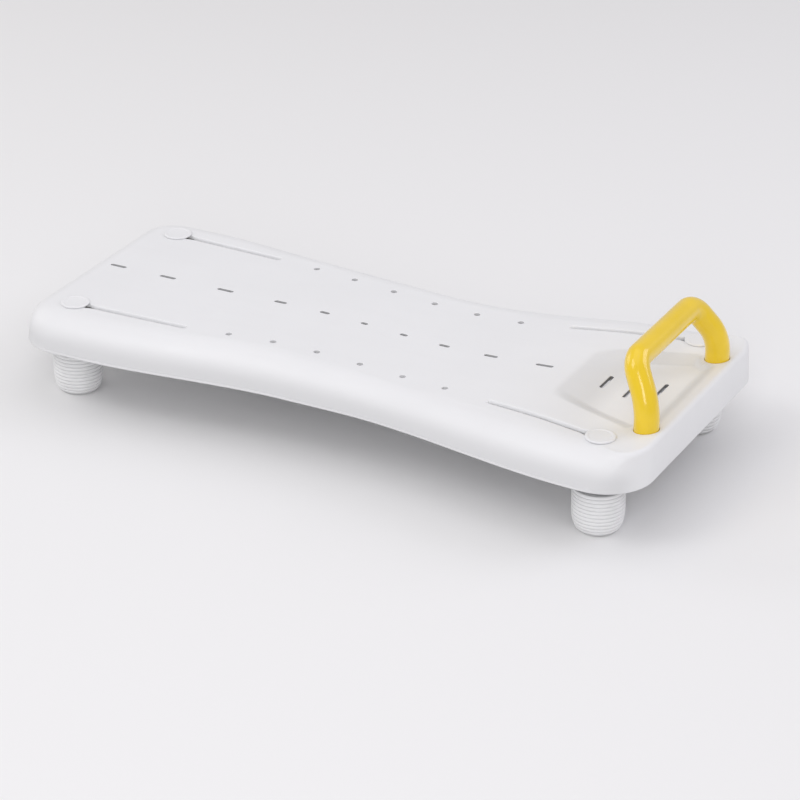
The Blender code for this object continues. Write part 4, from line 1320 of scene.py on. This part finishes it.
    @staticmethod
    def bar(centre: Triple, along: Vector, size: Triple) -> bpy.types.Mesh:
        """Straight bar for a rib or channel.

        Args:
            centre: Middle of the bar.
            along: Direction of its length in plan.
            size: Its length, width and height.

        Returns:
            A closed mesh.
        """
        x, y, z = np.array(size) / 2
        outline = np.array([[-x, -y], [x, -y], [x, y], [-x, y]])
        turn = Matrix.Rotation(math.atan2(along[1], along[0]), 4, "Z")
        mesh = stacked("bar", outline, np.zeros(2), np.array([-z, z]))
        return placed(mesh, Matrix.Translation(centre) @ turn)

    def legs(self) -> list[tuple[float, float]]:
        """Places of the handle's two legs."""
        x = self.half_length - self.leg_place[0]
        return [(x, -self.leg_place[1]), (x, self.leg_place[1])]

    def underside(self) -> bpy.types.Mesh:
        """Hollow under the deck, less its ribs, the rails beside the slots and the handle bosses.

        Returns:
            A closed mesh to take away from the deck.
        """
        thick, depth = self.rib
        rim = self.top - self.skirt
        high, low = self.top + MARGIN, self.top - depth
        height, middle = high - low, (high + low) / 2
        ahead, sideways = Vector((1, 0)), Vector((0, 1))
        long_ribs = [self.bar((0, side * y, middle), ahead, (self.length, thick, height))
                     for y in self.long_ribs for side in (-1, 1)]
        count, first, pitch = self.hole_row
        between = first + pitch * (np.arange(count + 1) - 0.5)
        cross_size = (2 * self.half_width_right, thick, height)
        cross_ribs = [self.bar((x, 0, middle), sideways, cross_size)
                      for x in [*self.outer_cross_ribs, *between]]
        rails = []
        for line in self.slot_lines():
            size = (line.length + self.shoe_length + 2 * thick, thick, height)
            for hand in (-1, 1):
                aside = line.across * hand * (self.channel_width + thick) / 2
                centre = (line.start + line.stop) / 2 + aside
                rails.append(self.bar((centre.x, centre.y, middle), line.along, size))
        boss, bevel = self.socket_radius + self.socket_wall, self.boss_bevel
        boss_low = self.top - self.socket_depth - self.socket_shelf
        bosses = [stacked("boss", circle(place, boss, BAR_STEPS), np.array([-bevel, 0, 0]),
                          np.array([boss_low, boss_low + bevel, high])) for place in self.legs()]
        hollow = self.lofted("underside", self.wall, self.skin, rim - MARGIN, self.hollow_steps)
        groups = {"long_ribs": long_ribs, "cross_ribs": cross_ribs, "rails": rails, "bosses": bosses}
        return worked(hollow, *[(Cut.TAKE_AWAY, joined(*group)) for group in groups.items()])

    def channels(self) -> list[bpy.types.Mesh]:
        """Channels over the rails, in which the keys of the slide shoes run.

        Returns:
            One closed mesh for each slot.
        """
        roof = self.top - self.key_depth + FIT
        height = self.rib[1] - self.key_depth + MARGIN
        channels = []
        for line in self.slot_lines():
            centre = (line.start + line.stop) / 2
            size = (line.length + self.shoe_length + 2 * FIT, self.channel_width, height)
            channels.append(self.bar((centre.x, centre.y, roof - height / 2), line.along, size))
        return channels

    def openings(self) -> list[bpy.types.Mesh]:
        """Everything that is cut out: foot slots, drain openings, sockets, bolt holes and channels.

        Returns:
            Closed meshes to take away from the deck, one for each kind.
        """
        low = self.top - self.rib[1] - MARGIN
        shelf = self.top - self.socket_depth
        hole_levels = np.array([shelf - self.socket_shelf - MARGIN, shelf + OVERLAP])
        groups = {
            "foot_slots": [self.opening(self.slot_outline(line), low, self.slot_lip)
                           for line in self.slot_lines()],
            "drains": [self.opening(drain.outline(), low, self.lip) for drain in self.drains()],
            "sockets": [self.opening(circle(place, self.socket_radius, TURN_STEPS), shelf, FIT)
                        for place in self.legs()],
            "bolt_holes": [stacked("bolt_hole", circle(place, self.bolt_hole_radius), np.zeros(2),
                                   hole_levels) for place in self.legs()],
            "channels": self.channels(),
        }
        return [joined(*group) for group in groups.items()]

    def paint_shade_and_light(self, mesh: bpy.types.Mesh) -> bpy.types.Mesh:
        """Paint shade on the drains' walls and the tray's slopes, and paint light on the foot slots'
        walls.

        A drain's painted shade is set close to its outline and under its lip. The tray's painted shade
        grows with the slope of tray_drop. The painted light grows over a slot's lip and dies away down
        its wall.

        Args:
            mesh: The finished deck.

        Returns:
            The same mesh.
        """
        close, step = 0.0001, 0.0005
        points = np.empty(3 * len(mesh.vertices), np.float32)
        mesh.vertices.foreach_get("co", points)
        x, y, z = points.reshape(-1, 3).T
        depth = self.level(x, y) - z
        shade = np.zeros(len(x))
        # painted shade on the drains' walls
        for drain in self.drains():
            away = np.hypot(x - np.clip(x, drain.start[0], drain.end[0]),
                            y - np.clip(y, drain.start[1], drain.end[1]))
            shade[(away < drain.width / 2 + close) & (depth > self.lip - close / 2)] = drain.shade
        # painted shade on the tray's slopes, growing with the slope
        slope = np.hypot(self.tray_drop(x + step, y) - self.tray_drop(x - step, y),
                         self.tray_drop(x, y + step) - self.tray_drop(x, y - step)) / (2 * step)
        share, full_slope = self.painted_tray_shade
        shade += share * ease(slope / full_slope) * (np.abs(depth) < step)
        # painted light on the foot slots' walls, drawn as emission
        painted_glow = np.zeros(len(x))
        for line in self.slot_lines():
            ahead = (x - line.start.x) * line.along.x + (y - line.start.y) * line.along.y
            aside = np.abs((x - line.start.x) * line.across.x + (y - line.start.y) * line.across.y)
            reach = self.slot_room + self.slot_width
            inside = ((ahead > -reach) & (ahead < line.length + reach)
                      & (aside < self.mouth[0] / 2 + self.slot_lip))
            left = np.clip((self.key_depth - FIT - depth) / self.key_depth, 0, 1)
            painted_glow[inside] = (ease(depth / self.slot_lip) * left)[inside]
        for name, values in ((PAINTED_SHADE, shade), (PAINTED_GLOW, painted_glow)):
            attribute = mesh.attributes.new(name, "FLOAT", "POINT")
            attribute.data.foreach_set("value", values.astype(np.float32))
        return mesh

    def build(self) -> bpy.types.Object:
        """Make the deck: the outer body less its ribbed hollow and its openings.

        Returns:
            The deck's object.
        """
        rim = self.top - self.skirt
        outer = self.lofted("deck", 0.0, 0.0, rim, self.steps)
        cuts = [(Cut.TAKE_AWAY, mesh) for mesh in (self.underside(), *self.openings())]
        mesh = self.paint_shade_and_light(worked(outer, *cuts))
        return add_piece("moulded_deck", mesh, WHITE, "board", ("deck",), self.sharp_angle)


# Clamps and feet

@dataclass
class ClampFoot:
    """One clamping foot on its slot: disc, bolt, slide shoe, hub and ringed sleeve.

    It is made around the Z axis, with heights from the deck's top, and then placed on the slot. Rim
    slope and rim bevel are two places on the disc's profile, flanges a radius and a thickness, the
    neck's bevel and the bolt's tip a height and an inset, and the key's bevel (depth, inset) pairs.
    The sole's edge is an inset, a height and the inset of the flat.
    """

    deck: Deck
    line: SlotLine
    disc_height: float = 0.0020
    disc_edge: float = 0.0010
    disc_dish: float = 0.0006
    disc_rim: float = 0.0030
    disc_round: float = 0.0006
    rim_slope: tuple[float, float] = (0.0010, 0.0002)
    rim_bevel: tuple[float, float] = (0.0008, 0.0001)
    head_radius: float = 0.008
    head_height: float = 0.0009
    head_bevel: float = 0.0003
    neck_depth: float = 0.0037
    neck_corner: float = 1.3
    neck_bevel: tuple[float, float] = (0.0008, 0.0004)
    bolt_radius: float = 0.003
    bolt_length: float = 0.080
    bolt_tip: tuple[float, float] = (0.002, 0.0012)
    thread_pitch: float = 0.001
    thread_depth: float = 0.0006
    thread_play: float = 0.0001
    shoe_flange: tuple[float, float] = (0.020, 0.003)
    shoe_corner: float = 0.0020
    shoe_round: float = 0.0008
    key_bevel: tuple[tuple[float, float], ...] = ((0.0008, 0.0), (0.0002, 0.0003), (0.0, 0.0009))
    hub_flange: tuple[float, float] = (0.019, 0.004)
    hub_neck: float = 0.015
    hub_core: float = 0.017
    hub_round: float = 0.0010
    neck_taper: float = 0.003
    core_taper: float = 0.002
    bore_room: float = 0.0015
    sleeve_radius: float = 0.026
    sleeve_height: float = 0.046
    sleeve_brim: tuple[float, float] = (0.0004, 0.0002)
    sole_radius: float = 0.0170
    sole_thickness: float = 0.0077
    sole_edge: Triple = (0.0001, 0.0002, 0.0006)
    round_height: float = 0.024
    round_power: float = 2.4
    rings: int = 11
    ring_depth: float = 0.0011
    ring_fill: float = 0.93
    ring_fade: float = 0.6
    ring_steps: int = 12

    @property
    def ring_pitch(self) -> float:
        """Height of one bead of the sleeve, with half a pitch left at the sole."""
        return self.sleeve_height / (self.rings + 0.5)

    def disc(self) -> bpy.types.Mesh:
        """Low round cap with a raised rim and a pocket below for the bolt's head.

        Returns:
            A closed mesh around the Z axis.
        """
        radius = self.deck.disc_radius
        pocket, pocket_top = self.head_radius + FIT, FIT + self.head_height + FIT
        top = FIT + self.disc_height
        dish, inner = top - self.disc_dish, radius - self.disc_rim
        profile = np.array([
            [0, dish], [inner - self.rim_slope[0], dish], [inner - self.rim_slope[1], top],
            [radius - self.rim_bevel[0], top - self.rim_bevel[1]], [radius, FIT + self.disc_edge],
            [radius, FIT], [pocket, FIT], [pocket, pocket_top], [0, pocket_top],
        ])
        return turned("disc", soften(profile, self.disc_round), FINE_STEPS)

    def bolt(self) -> bpy.types.Mesh:
        """Flat round head, square neck in the slot and a threaded shank.

        Returns:
            A closed mesh around the Z axis.
        """
        angle = around(BAR_STEPS)
        flat = np.ones(len(angle))
        square = self.bolt_radius / np.maximum(np.abs(np.cos(angle)), np.abs(np.sin(angle)))
        square = np.minimum(square, self.bolt_radius * self.neck_corner)
        head, head_top = self.head_radius, FIT + self.head_height
        neck_low, end = -self.neck_depth - self.neck_bevel[0], -self.bolt_length
        run = thread(neck_low, end + self.bolt_tip[0], self.thread_pitch,
                     self.bolt_radius - self.thread_play, self.thread_depth)
        heights = [head_top, head_top, head_top - self.head_bevel, FIT, FIT,
                   -self.neck_depth, neck_low, *run[:, 1], end, end]
        radii = [0 * flat, (head - self.head_bevel) * flat, head * flat, head * flat, square, square,
                 (self.bolt_radius - self.neck_bevel[1]) * flat, *(run[:, :1] * flat),
                 (self.bolt_radius - self.bolt_tip[1]) * flat, 0 * flat]
        return column("bolt", np.array(radii), np.array(heights))

    def shoe(self) -> bpy.types.Mesh:
        """Key that fills the channel, joined to a round flange under the rails and bored for the bolt.

        Returns:
            A closed mesh around the Z axis.
        """
        top = -self.deck.rib[1] - FIT
        radius, thick = self.shoe_flange
        low = top - thick
        x, y, soft = self.deck.shoe_length / 2, self.deck.channel_width / 2 - FIT, self.shoe_corner
        outline = circle((0, 0), soft, 24)
        outline += np.sign(outline + TINY) * np.array([x - soft, y - soft])
        depths, insets = np.array(self.key_bevel).T
        levels = np.array([(top + low) / 2, *(-self.deck.key_depth - depths)])
        key = stacked("key", outline, np.array([0, *-insets]), levels)
        ring = np.array([[0, top], [radius, top], [radius, low], [0, low]])
        flange = turned("flange", soften(ring, self.shoe_round))
        bore = stacked("bore", circle((0, 0), self.bolt_radius + FIT), np.zeros(2),
                       np.array([low - MARGIN, MARGIN]))
        return worked(key, (Cut.ADD, flange), (Cut.TAKE_AWAY, bore))

    def hub(self) -> bpy.types.Mesh:
        """Threaded hub: top flange, neck and the core inside the sleeve, bored from above.

        Returns:
            A closed mesh around the Z axis.
        """
        bore = self.bolt_radius + FIT
        top = -self.deck.rib[1] - 2 * FIT - self.shoe_flange[1]
        radius, thick = self.hub_flange
        shoulder = self.sleeve_height - self.deck.top
        low = self.sole_thickness + FIT - self.deck.top
        end = -self.bolt_length - self.bore_room
        profile = np.array([
            [0, end], [bore, end], [bore, top], [radius, top], [radius, top - thick],
            [self.hub_neck, top - thick - self.neck_taper], [self.hub_neck, shoulder + FIT],
            [self.hub_core, shoulder - self.core_taper], [self.hub_core, low], [0, low],
        ])
        return turned("hub", soften(profile, self.hub_round))

    def outer_radius(self, height: np.ndarray) -> np.ndarray:
        """Radius of the sleeve: upright, then rounded in to the sole, with beads all the way down.

        The round is full - (full - sole) (1 - (1 - s^p)^0.5) with s the share below the round's start
        and p the round's power. Each bead is part of a circle, 1 - (1 - (f u)^2)^0.5 deep at u across
        its pitch, with f the fill.

        Args:
            height: Heights above the sole.

        Returns:
            Outer radius at each height.
        """
        share = np.clip(1 - height / self.round_height, 0, 1)
        rounding = 1 - np.sqrt(1 - share ** self.round_power)
        smooth = self.sleeve_radius - (self.sleeve_radius - self.sole_radius) * rounding
        u = 2 * np.mod((self.sleeve_height - height) / self.ring_pitch, 1.0) - 1
        bead = (1 - np.sqrt(1 - (self.ring_fill * u) ** 2)) / (1 - math.sqrt(1 - self.ring_fill ** 2))
        return smooth - self.ring_depth * bead * ease(height / (self.ring_fade * self.ring_pitch))

    def sleeve(self) -> bpy.types.Mesh:
        """Ringed rubber cup with a plain bore and a flat sole.

        Returns:
            A closed mesh around the Z axis.
        """
        bore, top, low = self.hub_core + FIT, self.sleeve_height - self.deck.top, -self.deck.top
        floor = low + self.sole_thickness
        brim_in, brim_out = self.sleeve_brim
        edge_inset, edge_rise, flat_inset = self.sole_edge
        count = round(self.ring_steps * (self.rings + 0.5)) + 1
        heights = self.sleeve_height * (1 - np.linspace(0, 1, count))
        outer = np.column_stack([self.outer_radius(heights), heights + low])
        outer[0, 0] -= brim_out
        outer[-1] = self.sole_radius - edge_inset, low + edge_rise
        inner = np.array([[0, floor], [bore, floor], [bore, top - brim_in], [bore + brim_in, top]])
        sole = np.array([[self.sole_radius - flat_inset, low], [0, low]])
        return turned("sleeve", np.vstack([inner, outer, sole]), FINE_STEPS)

    def build(self) -> None:
        """Make the foot's five pieces in place, each on its own body."""
        frame = self.line.frame(self.deck.top)
        label = self.line.label
        for name, mesh, finish, body, node in (
            ("cap_disc_", self.disc(), WHITE, "carriage_", "clamp_disc_"),
            ("neck_bolt_", self.bolt(), STEEL, "carriage_", "clamp_bolt_"),
            ("rail_shoe_", self.shoe(), NYLON, "shoe_", "slide_shoe_"),
            ("turning_hub_", self.hub(), CHARCOAL, "foot_", "foot_hub_"),
            ("ringed_sleeve_", self.sleeve(), RUBBER, "foot_", "foot_sleeve_"),
        ):
            add_piece(name + label, placed(mesh, frame), finish, body + label, (node + label,))


# The handle

@dataclass
class Handle:
    """Bent yellow grab handle, with the insert, washer and bolt in each leg.

    Its legs stand in the deck's sockets. Runs are a share of a straight and a number of points, the
    washer and the bolt's head a radius and a thickness, and the chamfer a height and two radii.
    """

    deck: Deck
    wall: float = 0.0025
    lean: float = 0.022
    corner_y: float = 0.0690
    grip_height: float = 0.0615
    knee_height: float = 0.026
    knee_radius: float = 0.050
    corner_radius: float = 0.021
    leg_run: tuple[float, int] = (0.3, 4)
    grip_run: tuple[float, int] = (0.25, 8)
    knee_steps: int = 10
    corner_steps: int = 22
    insert_flange: float = 0.002
    chamfer_points: int = 6
    washer: tuple[float, float] = (0.010, 0.0016)
    washer_round: float = 0.0003
    head: tuple[float, float] = (0.0065, 0.005)
    chamfer: Triple = (0.0006, 0.0002, 0.0003)
    bolt_radius: float = 0.004
    bolt_reach: float = 0.015
    bolt_tip: float = 0.001
    thread_pitch: float = 0.00125
    thread_depth: float = 0.0006

    @staticmethod
    def _bend(before: np.ndarray, corner: np.ndarray, after: np.ndarray, radius: float,
              steps: int) -> np.ndarray:
        """Round the corner between two straight runs with an arc of a circle.

        Args:
            before: Point on the first run.
            corner: Where the runs would meet.
            after: Point on the second run.
            radius: Radius of the arc.
            steps: Stretches along it.

        Returns:
            Points from the arc's start to its end, by spherical interpolation around its middle.
        """
        towards = (before - corner) / np.linalg.norm(before - corner)
        away = (after - corner) / np.linalg.norm(after - corner)
        half = math.acos(float(np.clip(towards @ away, -1, 1))) / 2
        reach = radius / math.tan(half)
        middle = towards + away
        centre = corner + middle / np.linalg.norm(middle) * radius / math.sin(half)
        first, last = corner + towards * reach - centre, corner + away * reach - centre
        sweep = math.pi - 2 * half
        share = np.linspace(0, 1, steps + 1)[:, None]
        turn = first * np.sin((1 - share) * sweep) + last * np.sin(share * sweep)
        return centre + turn / math.sin(sweep)

    def path(self) -> np.ndarray:
        """Axis of the handle from the front leg's lower end, over the grip, to the back leg's.

        Returns:
            Points at even small steps: straight leg, wide knee, leaning leg, corner, grip, mirrored.
        """
        x, y = self.deck.legs()[1]
        low = self.deck.top - self.deck.socket_depth + 2 * FIT + self.insert_flange
        foot = np.array([x, -y, low])
        knee = np.array([x, -y, self.deck.top + self.knee_height])
        corner = np.array([x - self.lean, -self.corner_y, self.deck.top + self.grip_height])
        mirror = np.array([1, -1, 1])
        across = corner * mirror
        leg_end, leg_points = self.leg_run
        grip_start, grip_points = self.grip_run
        half = np.vstack([
            foot + (knee - foot) * np.linspace(0, leg_end, leg_points)[:, None],
            self._bend(foot, knee, corner, self.knee_radius, self.knee_steps),
            self._bend(knee, corner, across, self.corner_radius, self.corner_steps),
            corner + (across - corner) * np.linspace(grip_start, 0.5, grip_points)[:, None],
        ])
        return np.vstack([half[:-1], half[::-1] * mirror])

    def tube(self) -> bpy.types.Mesh:
        """Hollow round tube along the path.

        Each ring is path + radius (cos a N + sin a B), where N is the X axis made square to the path
        and B is square to both. The inner wall runs back the other way.

        Returns:
            A closed mesh.
        """
        path = self.path()
        tangent = np.gradient(path, axis=0)
        tangent /= np.linalg.norm(tangent, axis=1, keepdims=True)
        normal = np.array([1.0, 0, 0]) - tangent[:, :1] * tangent
        normal /= np.linalg.norm(normal, axis=1, keepdims=True)
        other = np.cross(tangent, normal)
        angle = around(BAR_STEPS)[None, :, None]
        spokes = np.cos(angle) * normal[:, None, :] + np.sin(angle) * other[:, None, :]
        outer = path[:, None, :] + self.deck.tube_radius * spokes
        inner = path[:, None, :] + (self.deck.tube_radius - self.wall) * spokes
        grid = np.concatenate([outer, inner[::-1], outer[:1]])
        return merged(make_mesh("tube", grid, [quads(*grid.shape[:2])]))

    def bolt(self) -> bpy.types.Mesh:
        """Six-sided head with a turned chamfer, and a threaded shank above it.

        Returns:
            A closed mesh around the Z axis.
        """
        angle, sixth = around(HEXAGON_STEPS), math.pi / 3
        flat = np.ones(len(angle))
        radius, thick = self.head
        rise, inner, outer = self.chamfer
        hexagon = radius / np.cos(np.mod(angle + sixth / 2, sixth) - sixth / 2)
        under = -self.deck.socket_depth - self.deck.socket_shelf - 2 * FIT - self.washer[1]
        low, end = under - thick, self.bolt_reach - self.deck.socket_depth
        share = np.linspace(0, 1, self.chamfer_points)
        limits = radius - inner + (radius / math.cos(sixth / 2) - radius + outer) * share
        run = thread(under, end - self.bolt_tip, self.thread_pitch, self.bolt_radius,
                     self.thread_depth)
        heights = [low, *(low + rise * share), under, under, *run[:, 1], end, end]
        radii = [0 * flat, *np.minimum(hexagon, limits[:, None]), hexagon, self.bolt_radius * flat,
                 *(run[:, :1] * flat), (self.bolt_radius - self.bolt_tip) * flat, 0 * flat]
        return column("hex_bolt", np.array(radii), np.array(heights))

    def build(self, nodes: dict[str, bpy.types.Object]) -> None:
        """Make the tube, washers and bolts, and dress the inserts that stay from the frame.

        Args:
            nodes: The frame's nodes by name.
        """
        add_piece("grab_tube", self.tube(), YELLOW, "board", ("handle_tube",))
        bore, (radius, thick) = self.bolt_radius + FIT, self.washer
        top = -self.deck.socket_depth - self.deck.socket_shelf - FIT
        middle, low = top - thick / 2, top - thick
        ring = soften(np.array([[bore, middle], [bore, top], [radius, top], [radius, low], [bore, low],
                                [bore, middle]]), self.washer_round)
        for label, (x, y) in zip(("front", "back"), self.deck.legs()):
            place = Matrix.Translation((x, y, self.deck.top))
            for name, mesh, node in (
                ("round_washer_", turned("washer", ring, ring=True), "handle_washer_"),
                ("hex_bolt_", self.bolt(), "handle_bolt_"),
            ):
                add_piece(name + label, placed(mesh, place), STEEL, "board", (node + label,))
            insert = nodes["handle_insert_" + label]
            insert.data.materials.clear()
            insert.data.materials.append(NYLON.material())


# Studio

@dataclass(frozen=True)
class Lamp:
    """Soft light that faces the board: place, width, power in watts, colour, height for its width."""

    name: str
    place: Triple
    size: float
    power: float
    colour: Colour = EVEN
    tall: float = 1.0

    def hang(self) -> None:
        """Add the light to the scene, facing the deck's middle."""
        data = bpy.data.lights.new(self.name, "AREA")
        data.shape = "RECTANGLE"
        data.size, data.size_y = self.size, self.size * self.tall
        data.energy, data.color = self.power, self.colour
        obj = bpy.data.objects.new(self.name, data)
        obj.location = self.place
        facing = Vector(AIM) - Vector(self.place)
        obj.rotation_euler = facing.to_track_quat("-Z", "Y").to_euler()
        bpy.context.scene.collection.objects.link(obj)


@dataclass
class Studio:
    """Plain pale floor, soft light and the camera at the photograph's angle."""

    azimuth: float = 28.04
    elevation: float = 26.74
    target: Triple = (0.09637, -0.13838, 0.096)
    distance: float = 2.87855
    lens: float = 135.0
    sensor: float = 36.0
    floor_size: float = 40.0
    floor_colour: Colour = (0.87, 0.87, 0.87)
    floor_dullness: float = 0.9
    floor_shine: float = 0.1
    sky_colour: Colour = (1.0, 0.98, 0.98)
    sky_strength: float = 0.56
    lamps: tuple[Lamp, ...] = (
        Lamp("overhead", (0.0, 0.0, 2.4), 2.0, 7.0, (0.97, 0.97, 1.05)),
        Lamp("right_back", (1.9, 1.5, 1.7), 1.4, 13.0, (0.96, 0.96, 1.08)),
        Lamp("front", (1.2, -2.5, 1.5), 0.8, 19.0, (1.0, 0.99, 1.03), 2.0),
        Lamp("left", (-2.5, 0.0, 1.2), 1.4, 8.0, (1.02, 1.0, 1.0)),
        Lamp("front_left_high", (-1.1, -1.45, 2.35), 1.2, 12.5, (1.0, 1.0, 1.02)),
    )

    def camera(self) -> None:
        """Set the camera."""
        a, e = math.radians(self.azimuth), math.radians(self.elevation)
        back = Vector((math.sin(a) * math.cos(e), -math.cos(a) * math.cos(e), math.sin(e)))
        data = bpy.data.cameras.new("camera")
        data.lens, data.sensor_width = self.lens, self.sensor
        camera = bpy.data.objects.new("camera", data)
        camera.location = Vector(self.target) + back * self.distance
        camera.rotation_euler = (-back).to_track_quat("-Z", "Y").to_euler()
        bpy.context.scene.collection.objects.link(camera)
        bpy.context.scene.camera = camera

    def floor(self) -> None:
        """Lay the floor, a wide plane of pale matt card."""
        corner = np.array([[-1, -1, 0], [1, -1, 0], [1, 1, 0], [-1, 1, 0]])
        mesh = make_mesh("floor", corner * self.floor_size / 2, [[0, 1, 2, 3]])
        recipe = Recipe("pale_floor")
        recipe.set(Base_Color=self.floor_colour, Roughness=self.floor_dullness,
                   Specular_IOR_Level=self.floor_shine)
        mesh.materials.append(recipe.material)
        obj = bpy.data.objects.new("floor", mesh)
        bpy.context.scene.collection.objects.link(obj)

    def build(self) -> None:
        """Set up the whole studio."""
        scene = bpy.context.scene
        scene.view_settings.view_transform = "Standard"
        world = bpy.data.worlds.new("studio")
        scene.world = world
        world.use_nodes = True
        sky = world.node_tree.nodes["Background"]
        sky.inputs["Color"].default_value = (*self.sky_colour, 1.0)
        sky.inputs["Strength"].default_value = self.sky_strength
        self.floor()
        for lamp in self.lamps:
            lamp.hang()
        self.camera()


def main() -> None:
    """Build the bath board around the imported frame."""
    logging.basicConfig(level=logging.INFO, format="%(name)s %(message)s")
    for obj in list(bpy.data.objects):
        bpy.data.objects.remove(obj, do_unlink=True)
    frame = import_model()
    Studio().build()
    deck = Deck()
    deck.build()
    for line in deck.slot_lines():
        ClampFoot(deck, line).build()
    Handle(deck).build(frame["nodes"])


if __name__ == "__main__":
    main()
